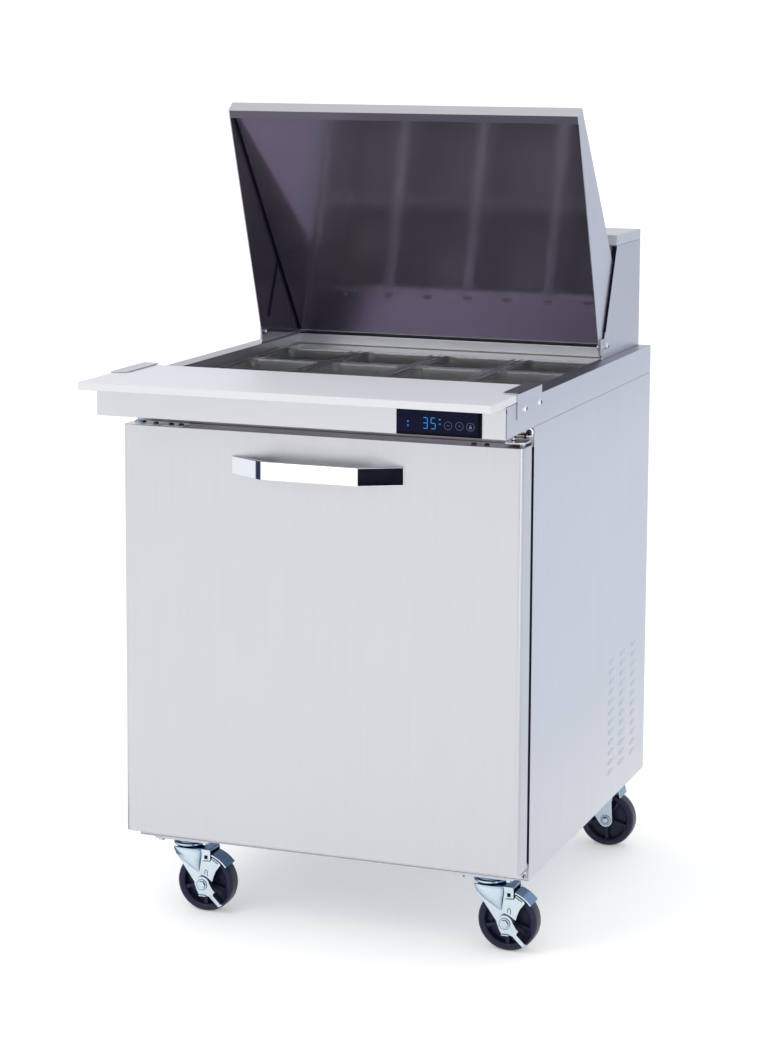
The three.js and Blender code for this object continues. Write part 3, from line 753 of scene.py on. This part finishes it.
def board_brackets():
    """Folded side plates that hold the board down, each with two screws."""
    for side, name in ((-1, "board_bracket_left"), (1, "board_bracket_right")):
        low, high = corners(name)
        outer = high.x if side > 0 else low.x
        thick = 1.5
        shape = Shape()
        near = outer - side * thick
        upright = rectangle((low.y, low.z), (high.y, high.z))
        span = sorted((near, outer))
        shape.prism("x", rounded(upright, [2, 2, 0.8, 0.8]), span, bevel=0.4)
        inner = outer - side * 28
        top = [(outer, low.y), (outer, high.y), (inner, high.y), (inner, low.y)]
        shape.prism("z", rounded(top, [1, 1, 6, 16]), (high.z - thick, high.z), bevel=0.4)
        shape.stand_for(name, f"{name}_finish", steel_y)
        screws = Shape()
        for y, z in BRACKET_SCREWS:
            screws.screw((outer, y, z), "+x" if side > 0 else "-x", 5.0, 5.2)
        screws.done(f"{name}_screws", "cabinet", *CHROME)


def segment_bar(shape, x, z, length, width, y, upright):
    half, thick = length / 2, width / 2
    along = [(-half, 0), (-half + thick, -thick), (half - thick, -thick), (half, 0),
             (half - thick, thick), (-half + thick, thick)]
    outline = [(x + (b if upright else a), z + (a if upright else b)) for a, b in along]
    shape.prism("y", outline, (y - 0.25, y))


def controls():
    dressed("control_panel", bezel_plastic, 0.6)
    low, high = corners("display_lens")
    outline = rounded(rectangle((low.x + 1.5, low.z + 3), (high.x - 3.5, high.z - 0.5)), 1.5)
    window = Shape().prism("y", outline, (low.y, high.y), bevel=0.35, steps=3)
    window.stand_for("display_lens", "display_window", glass)
    front = low.y
    level = (low.z + high.z) / 2 - 3
    display_digits(low.x, level, front)
    touch_keys(level - 2.3, front)


def display_digits(left, level, front):
    """Seven-segment digits, with the small lamps beside them."""
    digits = Shape()
    width, height, bar = 7.0, 17.0, 1.25
    for x, digit in zip((left + 47, left + 60), DIGITS):
        spots = {"a": (0, height / 2, False), "g": (0, 0, False), "d": (0, -height / 2, False),
                 "b": (width / 2, height / 4, True), "c": (width / 2, -height / 4, True),
                 "f": (-width / 2, height / 4, True), "e": (-width / 2, -height / 4, True)}
        for name in DIGIT_SEGMENTS[digit]:
            dx, dz, upright = spots[name]
            length = (height / 2 if upright else width) - 0.5
            segment_bar(digits, x + dx, level + dz, length, bar, front, upright)
    for dz in (1.2, -5.2):
        segment_bar(digits, left + 18.5, level + dz, 3.4, 2.0, front, True)
    digits.prism("y", [(left + 69, level + 7.5), (left + 73, level + 7.5), (left + 71, level + 4.5)],
                 (front - 0.25, front))
    segment_bar(digits, left + 71, level - 0.5, 3.8, 1.4, front, False)
    digits.done("display_digits", "cabinet", "lens_black", blue_lamp)


def touch_keys(level, front):
    """Three printed rings: an arrow down, an arrow up and a lock."""
    keys = Shape()
    for x in KEYS_X:
        ring = [(6.5, front - 0.2), (6.5, front), (6.0, front), (6.0, front - 0.2), (6.5, front - 0.2)]
        keys.lathe("y", (x, level), ring, 28)
    for x, rise in zip(KEYS_X, (-1, 1)):
        foot, tip = level - rise, level + 1.3 * rise
        keys.tube([(x - 2.4, front, foot), (x, front, tip), (x + 2.4, front, foot)], 0.38, 6)
    x = KEYS_X[2]
    lock = rounded(rectangle((x - 2.2, level - 3), (x + 2.2, level + 0.5)), 0.6, 3)
    keys.prism("y", lock, (front - 0.2, front))
    keys.tube([(x - 1.5, front, level + 0.3), (x - 1.4, front, level + 2), (x, front, level + 3),
               (x + 1.4, front, level + 2), (x + 1.5, front, level + 0.3)], 0.35, 6)
    keys.done("touch_keys", "cabinet", "lens_black", key_print)


def wire_shelf():
    low, high = corners("wire_shelf")
    shape = Shape()
    level = low.z + 3
    left, right, near, far = low.x + 3, high.x - 3, low.y + 3, high.y - 3
    rail = [(left, near, level), (right, near, level), (right, far, level), (left, far, level)]
    for a, b in zip(rail, rail[1:] + rail[:1]):
        shape.tube([a, b], 3, 12)
    count = 22
    for i in range(1, count):
        x = low.x + (high.x - low.x) * i / count
        shape.tube([(x, near - 1.5, level + 1), (x, near, level + 4.2), (x, far, level + 4.2),
                    (x, far + 1.5, level + 1)], 1.6, 8)
    for y in (low.y + 180, low.y + 355):
        shape.tube([(left, y, level), (right, y, level)], 2.4, 10)
    shape.stand_for("wire_shelf", "wire_shelf_rods", chrome)
    clips = Shape()
    for x in (-296, 296):
        for y in (low.y + 60, high.y - 60):
            clips.block((x - 3, y - 9, low.z - 9), (x + 3, y + 9, low.z), bevel=1.2)
    clips.done("shelf_clips", "cabinet", *CHROME)


# ---------------------------------------------------------------- refrigeration
def fin_coil(name, low, high, across, pitch, tubes):
    """A fin block with its copper return bends. across is the axis that the fins are spaced on."""
    fins = Shape()
    axis = "xyz".index(across)
    level = low[axis]
    while level < high[axis]:
        a, b = list(low), list(high)
        a[axis], b[axis] = level, level + 0.5
        fins.block(a, b)
        level += pitch
    fins.stand_for(name, f"{name}_fins", aluminium)
    bends = Shape()
    for path in tubes:
        bends.tube(path, 4, 8)
    bends.done(f"{name}_tubes", "cabinet", "aluminium_fins", copper)


def refrigeration():
    low, high = corners("condenser_coil")
    middle = (low.x + high.x) / 2
    runs = [[(middle, low.y + 1, z), (middle, high.y - 1, z)] for z in range(170, 380, 25)]
    ends = [[(middle, low.y + 1, z), (middle, low.y - 8, z + 6), (middle, low.y - 8, z + 19),
             (middle, low.y + 1, z + 25)] for z in range(170, 355, 50)]
    fin_coil("condenser_coil", low, high, "y", 4, runs + ends)
    low, high = corners("evaporator_coil")
    middle = (low.y + high.y) / 2
    runs = [[(low.x + 1, middle, z), (high.x - 1, middle, z)] for z in range(535, 690, 25)]
    fin_coil("evaporator_coil", low, high, "x", 5, runs)
    dressed("compressor", enamel, 1.5, 3)
    dressed("condenser_fan_motor", enamel, 1.0)
    dressed("evaporator_fan_motor", enamel, 0.6)
    dressed("condenser_fan", aluminium, 0.5)
    dressed("evaporator_fan", aluminium, 0.5)
    dressed("drip_pan", liner_plastic, 0.5)


# ---------------------------------------------------------------- door
def shorten(piece, rear, by):
    """Moves a piece's rear face forwards."""
    for vertex in piece.data.vertices:
        if vertex.co.y > (rear - 1) * MM:
            vertex.co.y -= by * MM


def door():
    """The shell and liner stop short of the frame, so that the seal shows all round."""
    rear = corners("door_shell")[1].y
    shorten(dressed("door_shell", steel_door, 0.8, 3), rear, DOOR_SEAL_SHOWS)
    shorten(dressed("door_liner", liner_plastic, 2.0, 3), rear, DOOR_SEAL_SHOWS)
    low, high = corners("door_gasket")
    back = high.y
    front = rear - DOOR_SEAL_SHOWS + 0.3
    deep = back - front
    profile = [(1, front), (0, front + deep * 0.35), (1.5, front + deep * 0.6), (0.3, front + deep * 0.8),
               (-0.9, back), (20, back), (24, front + deep * 0.7), (27, front + deep * 0.5),
               (30, front + deep * 0.25), (31, front)]
    across = (low.x - SEAL_GROW, high.x + SEAL_GROW)
    seal = Shape().frame_ring(across, (low.z - 6, high.z + 6), profile)
    seal.stand_for("door_gasket", "door_seal", rubber, 25)
    handle()
    spare_fittings()


def handle():
    low, high = corners("door_handle")
    face, out = high.y, low.y
    half, flat = high.x, 84.0
    end = 2.2
    outline = [(-half, face), (-half, face - end), (-flat, out), (flat, out), (half, face - end),
               (half, face), (128, face), (80, out + 9), (-80, out + 9), (-128, face)]
    radii = [0, 1.2, 4, 4, 1.2, 0, 2, 34, 34, 2]
    shape = Shape().prism("z", rounded(outline, radii, 8), (low.z, high.z), bevel=1.1, steps=4)
    shape.stand_for("door_handle", "handle_bar", chrome_handle, 30)


def hinges():
    pin = joint_place("door_hinge")
    front = corners("front_frame")[0].y
    arm_foot = corners("top_hinge_bracket")[0].z + 21
    hinge("top", pin, front, [1, 1, 3, 3], 312, (arm_foot, arm_foot + 3), (835, 858))
    closer(pin, front)
    hinge("bottom", pin, front, [3, 3, 1, 1], 322, (148, 151), (149, 172))
    screws = Shape()
    for x, z, radius in ((341.5, 139, 3.8), (310, 142, 4.5)):
        screws.screw((x, front - 3, z), "-y", radius, 2.4)
    screws.done("hinge_screws", "cabinet", *ZINC)


def hinge(name, pin, front, radii, left, arm_span, pin_span):
    """One bracket of the door: its plate on the frame, its arm and the pin that the door turns on."""
    node = f"{name}_hinge_bracket"
    low, high = corners(node)
    shape = Shape()
    plate = rounded(rectangle((low.x, low.z), (high.x, high.z)), radii)
    shape.prism("y", plate, (front - 3, front - 0.3), bevel=0.5)
    arm = [(left, front - 1), (HINGE_ARM_END, front - 1), (HINGE_ARM_END, pin.y - 8),
           (pin.x, pin.y - 17), (left, pin.y - 17)]
    shape.prism("z", rounded(arm, [0, 0, 6, 6, 3]), arm_span, bevel=0.5)
    shape.rod("z", (pin.x, pin.y), 5.5, pin_span, bevel=0.5)
    shape.stand_for(node, f"{name}_hinge", steel_x)


def closer(pin, front):
    """The torsion rod that shuts the door: a link, a brass sleeve, collars and its anchor washer."""
    level, y = CLOSER_LEVEL, front - 12
    link_x, link_y = 326, pin.y - 11
    anchor_x, anchor_z = 341, 871
    rod = Shape()
    rod.rod("x", (y, level), 3.0, (322, anchor_x), 16, bevel=0.4)
    rod.done("closer_sleeve", "cabinet", "chrome_trim", brass)
    collars = Shape()
    for x in (320, 338):
        collars.rod("x", (y, level), 4.2, (x - 2, x + 2), 16, bevel=0.6)
    collars.rod("z", (link_x, link_y), 3.4, (860.5, 863), 16, bevel=0.4)
    collars.done("closer_collars", "cabinet", *DARK)
    wires = Shape()
    wires.tube([(link_x, link_y, 858.6), (link_x, link_y, 864), (325, link_y + 2, 866.5),
                (322, link_y + 7, 867.5), (318, y - 3, 867), (316.5, y, level), (322, y, level)],
               1.7, 10)
    wires.tube([(338, y, level), (344, y, level), (346, y + 3, level), (346.5, front - 2, level)],
               1.6, 10)
    wires.rod("y", (anchor_x, anchor_z), 7.6, (front - 4.4, front - 3), 28, bevel=0.5)
    wires.done("closer_link", "cabinet", *CHROME)
    anchor = Shape().screw((anchor_x, front - 4.4, anchor_z), "-y", 4.8, 2.4)
    anchor.done("closer_anchor", "cabinet", *DARK)


def spare_fittings():
    """The fittings on the door's top: screws, and two small plates and a plug on the unused side."""
    top = corners("door_shell")[1].z
    near, far = SPARE_PLATE_EDGES
    plates = Shape()
    for low, high, nose in SPARE_PLATES:
        outline = rounded(rectangle((low, near), (high, far)), [1, nose, nose, 1])
        plates.prism("z", outline, (top - 0.3, top + 1.3), bevel=0.5)
    plates.done("spare_hinge_plates", "door", "stainless_brushed", steel_x)
    screws = Shape()
    for x, seat in DOOR_TOP_SCREWS:
        screws.screw((x, DOOR_TOP_SCREWS_Y, top + seat), "+z", 4.6, 3.0)
    screws.done("door_top_screws", "door", *DARK)
    button = [(0, top), (10, top), (10, top + 2.6), (8.4, top + 4.6), (0, top + 4.6)]
    plug = Shape().lathe("z", (-329, -279), button)
    plug.done("spare_hinge_plug", "door", "chrome_trim", zinc)


# ---------------------------------------------------------------- hood and lid
def opened(y, z):
    """A point of the closed lid, from its pivot, where the open lid has it."""
    turn = math.radians(-LID_OPEN)
    pivot = joint_place("lid_hinge")
    return (pivot.y + y * math.cos(turn) - z * math.sin(turn),
            pivot.z + y * math.sin(turn) + z * math.cos(turn))


def lid_point(along, deep):
    """A point of the open lid: along the panel from its front edge, and below its outer face."""
    slope = math.radians(LID_SLOPE)
    y = LID_FRONT[0] + math.cos(slope) * along + math.sin(slope) * deep
    z = LID_FRONT[1] + math.sin(slope) * along - math.cos(slope) * deep
    return opened(y, z)


def hood_and_lid():
    dressed("hood_shell", steel_hood, 0.6)
    dressed("hood_cap", steel_cap, 0.7, 3)
    dressed("lid_outer_skin", steel_x, 0.6)
    dressed("lid_inner_panel", steel_polished, 1.0, 3)
    lid_lining()
    hood_fittings()


def hood_fittings():
    """The dark trim on the hood's slanted front edges, and the bolts and pins of the lid's pivot."""
    pivot = joint_place("lid_hinge")
    wall = corners("hood_shell")[1].x
    foot, brow = HOOD_EDGE
    ends = [(foot[0] + (brow[0] - foot[0]) * t, foot[1] + (brow[1] - foot[1]) * t) for t in TRIM_SPAN]
    (low_y, low_z), (high_y, high_z) = ends
    outline = [(low_y - 0.3, low_z), (low_y + 0.2, low_z), (high_y + 0.2, high_z), (high_y - 0.3, high_z)]
    trim = Shape()
    bolts = Shape()
    for side in (-1, 1):
        trim.prism("x", outline, sorted((side * wall, side * (wall - 9))))
        outward, inward = ("+x", "-x") if side > 0 else ("-x", "+x")
        seat = side * (wall + 0.8)
        washer = [(0, side * wall), (7, side * wall), (7, seat), (0, seat)]
        bolts.lathe("x", (pivot.y + 21, pivot.z), washer, 28)
        bolts.screw((seat, pivot.y + 21, pivot.z), outward, 5, 3)
        bolts.screw((side * (wall - 1), pivot.y, pivot.z), outward, 3.6, 1.8)
        bolts.screw((side * (wall - 9.5), pivot.y, pivot.z), inward, 4.6, 2)
    trim.done("hood_edge_trim", "cabinet", *RUBBER)
    bolts.done("pivot_bolts", "cabinet", *CHROME)


def lid_lining():
    """Polished sheets inside the lid's cheeks and front return, with black seams between them; the cheek sheets'
    dark colour is painted reflection and the front return's dark facing is painted shade.
    """
    side_wall = corners("lid_inner_panel")[1].x
    cheek = [opened(-438.5, -18.2), lid_point(4, 2.2), lid_point(545, 2.2), opened(12.4, -12.2)]
    sheets = Shape()
    for side in (-1, 1):
        sheets.prism("x", cheek, sorted((side * (side_wall + 0.7), side * (side_wall + 0.3))))
    sheets.done("lid_cheek_sheets", "lid", "stainless_polished", steel_polished)
    # the front return's facing: a dark sheet that paints its shade
    strip = [opened(-440, -19.1), opened(-426.2, -19.1), opened(-426.2, -19.6), opened(-440, -19.6)]
    facing = Shape().prism("x", strip, (-side_wall, side_wall))
    facing.done("lid_front_facing", "lid", "stainless_polished", steel_shade)
    seams = Shape()
    for side in (-1, 1):
        across = sorted((side * (side_wall + 0.2), side * (side_wall - 3.6)))
        run = [lid_point(7, 13.8), lid_point(534, 13.8), lid_point(534, 15.8), lid_point(7, 15.8)]
        seams.prism("x", run, across, bevel=0.3)
    seams.done("lid_seams", "lid", *RUBBER)


# ---------------------------------------------------------------- pans and board
def pan_ring(width, depth, radius, level, centre):
    outline = rounded(rectangle((-width / 2, -depth / 2), (width / 2, depth / 2)), radius, 6)
    return [(x + centre[0], y + centre[1], level) for x, y in outline]


def food_pans():
    """Each pan as a skin of rings: up its outside from the foot, over the rim, and down inside."""
    for node in [name for name in frame["nodes"] if name.startswith("food_pan_")]:
        low, high = corners(node)
        centre = ((low.x + high.x) / 2, (low.y + high.y) / 2)
        w, d = high.x - low.x, high.y - low.y
        top, foot = high.z, low.z
        # inset from the rim, corner radius, height
        spec = [(45, 6, foot), (41, 10, foot + 0.8), (38, 13, foot + 4), (22, 17, top - 9),
                (20, 18, top - 2.6), (2, 13, top - 2.6), (0, 14, top - 2.0), (0, 14, top - 0.9),
                (2, 13, top), (20, 18, top), (23.5, 16, top - 1.6), (26, 15, top - 9),
                (41.6, 11, foot + 6), (45.6, 8, foot + 2.6), (50, 5, foot + 1.8)]
        rings = [pan_ring(w - inset, d - inset, radius, z, centre) for inset, radius, z in spec]
        shape = Shape().skin(rings)
        shape.stand_for(node, node.replace("food_", "") + "_clear", clear_plastic)


def board():
    low, high = corners("cutting_board")
    outline = rounded(rectangle((low.x, low.y), (high.x, high.y)), 3)
    shape = Shape().prism("z", outline, (low.z, high.z), bevel=1.6, steps=4)
    shape.stand_for("cutting_board", "cutting_board_plastic", board_plastic)


# ---------------------------------------------------------------- casters
def caster_wheel(name, offset):
    shape = Shape(offset)
    rim = [(37.5, -11), (39, -13.5), (42, -15.6), (47, -16), (49.6, -13.8), (51, -10), (51, 10),
           (49.6, 13.8), (47, 16), (42, 15.6), (39, 13.5), (37.5, 11), (37.5, -11)]
    shape.lathe("y", (0, 0), rim, 56)
    web = [(11, -3), (38.5, -3), (38.5, 3), (11, 3), (11, -3)]
    shape.lathe("y", (0, 0), web, 56)
    hub = [(5.7, -16), (11.5, -16), (13, -14.5), (13.6, 0), (13, 14.5), (11.5, 16), (5.7, 16), (5.7, -16)]
    shape.lathe("y", (0, 0), hub, 32)
    for k in range(5):
        turn = Matrix.Rotation(math.tau * k / 5 + 0.3, 4, "Y")
        spoke = [(12, 2.6), (38.5, 3.4), (38.5, -3.4), (12, -2.6)]
        shape.prism("y", spoke, (-11.5, 11.5), bevel=0.8, turn=turn)
    shape.stand_for(f"caster_wheel_{name}", f"caster_wheel_{name}_moulded", wheel_plastic)


def caster_fork(name, offset, brake):
    shape = Shape(offset)
    race = [(0, 126.7), (29, 126.7), (29.5, 125), (27.5, 122.5), (23.5, 121.5), (23.5, 120), (27, 118.5),
            (27.5, 116), (25.5, 113.5), (22, 112.2), (0, 112)]
    shape.lathe("z", (0, 0), race, 40)
    end = 47 if brake else 60
    crown = [(end, -FORK_HALF), (end, FORK_HALF)] + arc(0, 0, FORK_HALF + 0.2, 90, 270, 16)
    shape.prism("z", crown, (106.5, 112.5), bevel=2.2, steps=3)
    if not brake:
        shape.prism("y", [(57.2, 110), (60, 110), (63, 96), (60.4, 95.4)], (-20.6, 20.6), bevel=0.6)
    leg = [(-21, 109), (-17, 98), (-3, 80)] + arc(*AXLE, 13, 215, 360, 14)
    leg += [(45.5, 86), (47, 92), (47, 109)]
    for low, high in ((-FORK_HALF, -18.2), (18.2, FORK_HALF)):
        shape.prism("y", leg, (low, high), bevel=0.6)
    for side in (-1, 1):
        fork_bulge(shape, side)
    face = LEVER_PLATE[0] if brake else -FORK_HALF
    shape.rod("y", AXLE, 5, (face, 23), 20)
    nut = rounded(circle(*AXLE, 7.4, 6), 0.8, 2)
    shape.lathe("y", AXLE, [(0, face - 1.3), (8.4, face - 1.3), (9.2, face - 0.8), (9.2, face + 0.1),
                            (0, face + 0.1)], 32)
    if brake:
        shape.prism("y", nut, (face - 5.2, face - 1.2), bevel=0.9)
        tip = [(0, face - 5.7), (3.2, face - 5.6), (4.2, face - 5.1), (0, face - 5.0)]
        shape.lathe("y", AXLE, tip, 20)
    else:
        dome = [(0, face - 5.0), (3, face - 4.8), (5.6, face - 3.8), (7.2, face - 2.2), (7.4, face - 1.2),
                (0, face - 1.2)]
        shape.lathe("y", AXLE, dome, 32)
    shape.prism("y", nut, (FORK_HALF, FORK_HALF + 4.8), bevel=0.8)
    shape.stand_for(f"caster_fork_{name}", f"caster_fork_{name}_pressed", zinc)
    # dark patches for the slots in the legs and a dark ring round the axle bolt: painted shade
    hole_shades = Shape(offset)
    for side in (-1, 1):
        hole_shades.block((36, side * 21.1 - 0.15, 95), (42, side * 21.1 + 0.15, 101.5))
    bolt_shade_ring = [(9.3, face - 0.6), (9.9, face - 0.5), (9.9, face), (9.3, face), (9.3, face - 0.6)]
    hole_shades.lathe("y", AXLE, bolt_shade_ring)
    hole_shades.done(f"caster_fork_{name}_slots", f"swivel_{name}", "black_enamel", rubber)


def fork_bulge(shape, side):
    """The half cone pressed into each leg, from the round race to a point above the axle."""
    rings = []
    for z, middle, half, depth in FORK_BULGE:
        ring = []
        for k in range(17):
            t = math.pi * k / 16
            ring.append((middle - half * math.cos(t), side * (20.4 + depth * math.sin(t)), z))
        ring += [(middle + half, side * 19.4, z), (middle - half, side * 19.4, z)]
        rings.append(ring)
    shape.skin(rings)


def caster_brake(name, offset):
    """The brake of a front caster: its shoe and the shoe's plate, then the lever and its grip."""
    shape = Shape(offset)
    plate = [(31.5, 91.5), (31.5, 68), (38, 65), (46, 61), (52, 57), (54.5, 66), (59, 77), (67.5, 88),
             (66, 91.5), (52, 100), (49, 92.5)]
    radii = [3, 2, 0, 0, 1, 20, 14, 1.5, 2, 1.5, 3]
    shape.prism("y", rounded(plate, radii, 4), SHOE_PLATE, bevel=0.5)
    shoe = arc(*AXLE, 53.4, 38, 73, 10) + arc(*AXLE, 56, 73, 38, 10)
    shape.prism("y", shoe, (SHOE_PLATE[0], 14), bevel=0.5)
    shape.tube([(51, -24.6, 97), (57, -24.9, 93), (63, -24.6, 90)], 1.1, 8)
    shape.stand_for(f"brake_shoe_{name}", f"brake_shoe_{name}_pressed", zinc)
    # a dark line for the hooked slot in the shoe's plate: painted shade
    slot_shade = Shape(offset)
    line = [(38.2, 69), (38.2, 74.5), (39.2, 76.2), (40.6, 76.8), (42, 76.2), (43, 74.5), (43, 66.5)]
    slot_shade.tube([(x, SHOE_PLATE[0], z) for x, z in line], 0.55, 8)
    slot_shade.done(f"brake_shoe_{name}_slot", f"shoe_{name}", "black_enamel", rubber)

    at_axle = (offset[0] + AXLE[0], offset[1], AXLE[1])
    lever = Shape(at_axle)
    outline = arc(0, 0, 14, 12, 176, 18) + [(-9.5, -11), (-5, -18.8), (8, -19), (13, -19.6), (31, -37),
                                            (38, -32.5), (20.5, -15), (24, -11), (19.5, -6.5)]
    radii = [0] * 19 + [4, 2, 2, 4, 2, 2, 2, 1, 1]
    lever.prism("y", rounded(outline, radii, 4), LEVER_PLATE, bevel=0.5)
    lever.block((-5, -30.5, -19.8), (8, -24.7, -18), bevel=0.6)
    lever.stand_for(f"brake_lever_{name}", f"brake_lever_{name}_pressed", zinc)

    grip = Shape(at_axle)
    body = [(20.5, -15.6), (36, -31), (41, -26.5), (26, -10.8)]
    grip.prism("y", rounded(body, 1.2, 3), (-30.2, -24.4), bevel=0.6)
    for k in range(6):
        along = 0.1 + 0.16 * k
        foot = Vector(body[0]).lerp(Vector(body[1]), along)
        head = Vector(body[3]).lerp(Vector(body[2]), along)
        grip.tube([(foot.x, -30.2, foot.y), (head.x, -30.2, head.y)], 0.7, 8)
    grip.done(f"brake_grip_{name}", f"lever_{name}", *RUBBER)


def casters():
    bolts = Shape()
    for name in ("front_left", "front_right", "rear_left", "rear_right"):
        swivel = joint_place(f"swivel_{name}_turn")
        wheel = joint_place(f"wheel_{name}_roll")
        brake = name.startswith("front")
        caster_wheel(name, wheel)
        caster_fork(name, (swivel.x, swivel.y, 0), brake)
        if brake:
            caster_brake(name, (swivel.x, swivel.y, 0))
        for dx in (-BOLT_SPACING[0], BOLT_SPACING[0]):
            for dy in (-BOLT_SPACING[1], BOLT_SPACING[1]):
                hexagon = circle(swivel.x + dx, swivel.y + dy, 6, 6)
                bolts.prism("z", hexagon, (123, 127), bevel=0.6)
    bolts.done("caster_bolts", "cabinet", *ZINC)


add_camera()
set_stage()
cabinet_sheets()
worktop_seams()
louvers()
rear_fittings()
board_brackets()
controls()
wire_shelf()
refrigeration()
door()
hinges()
hood_and_lid()
food_pans()
board()
casters()
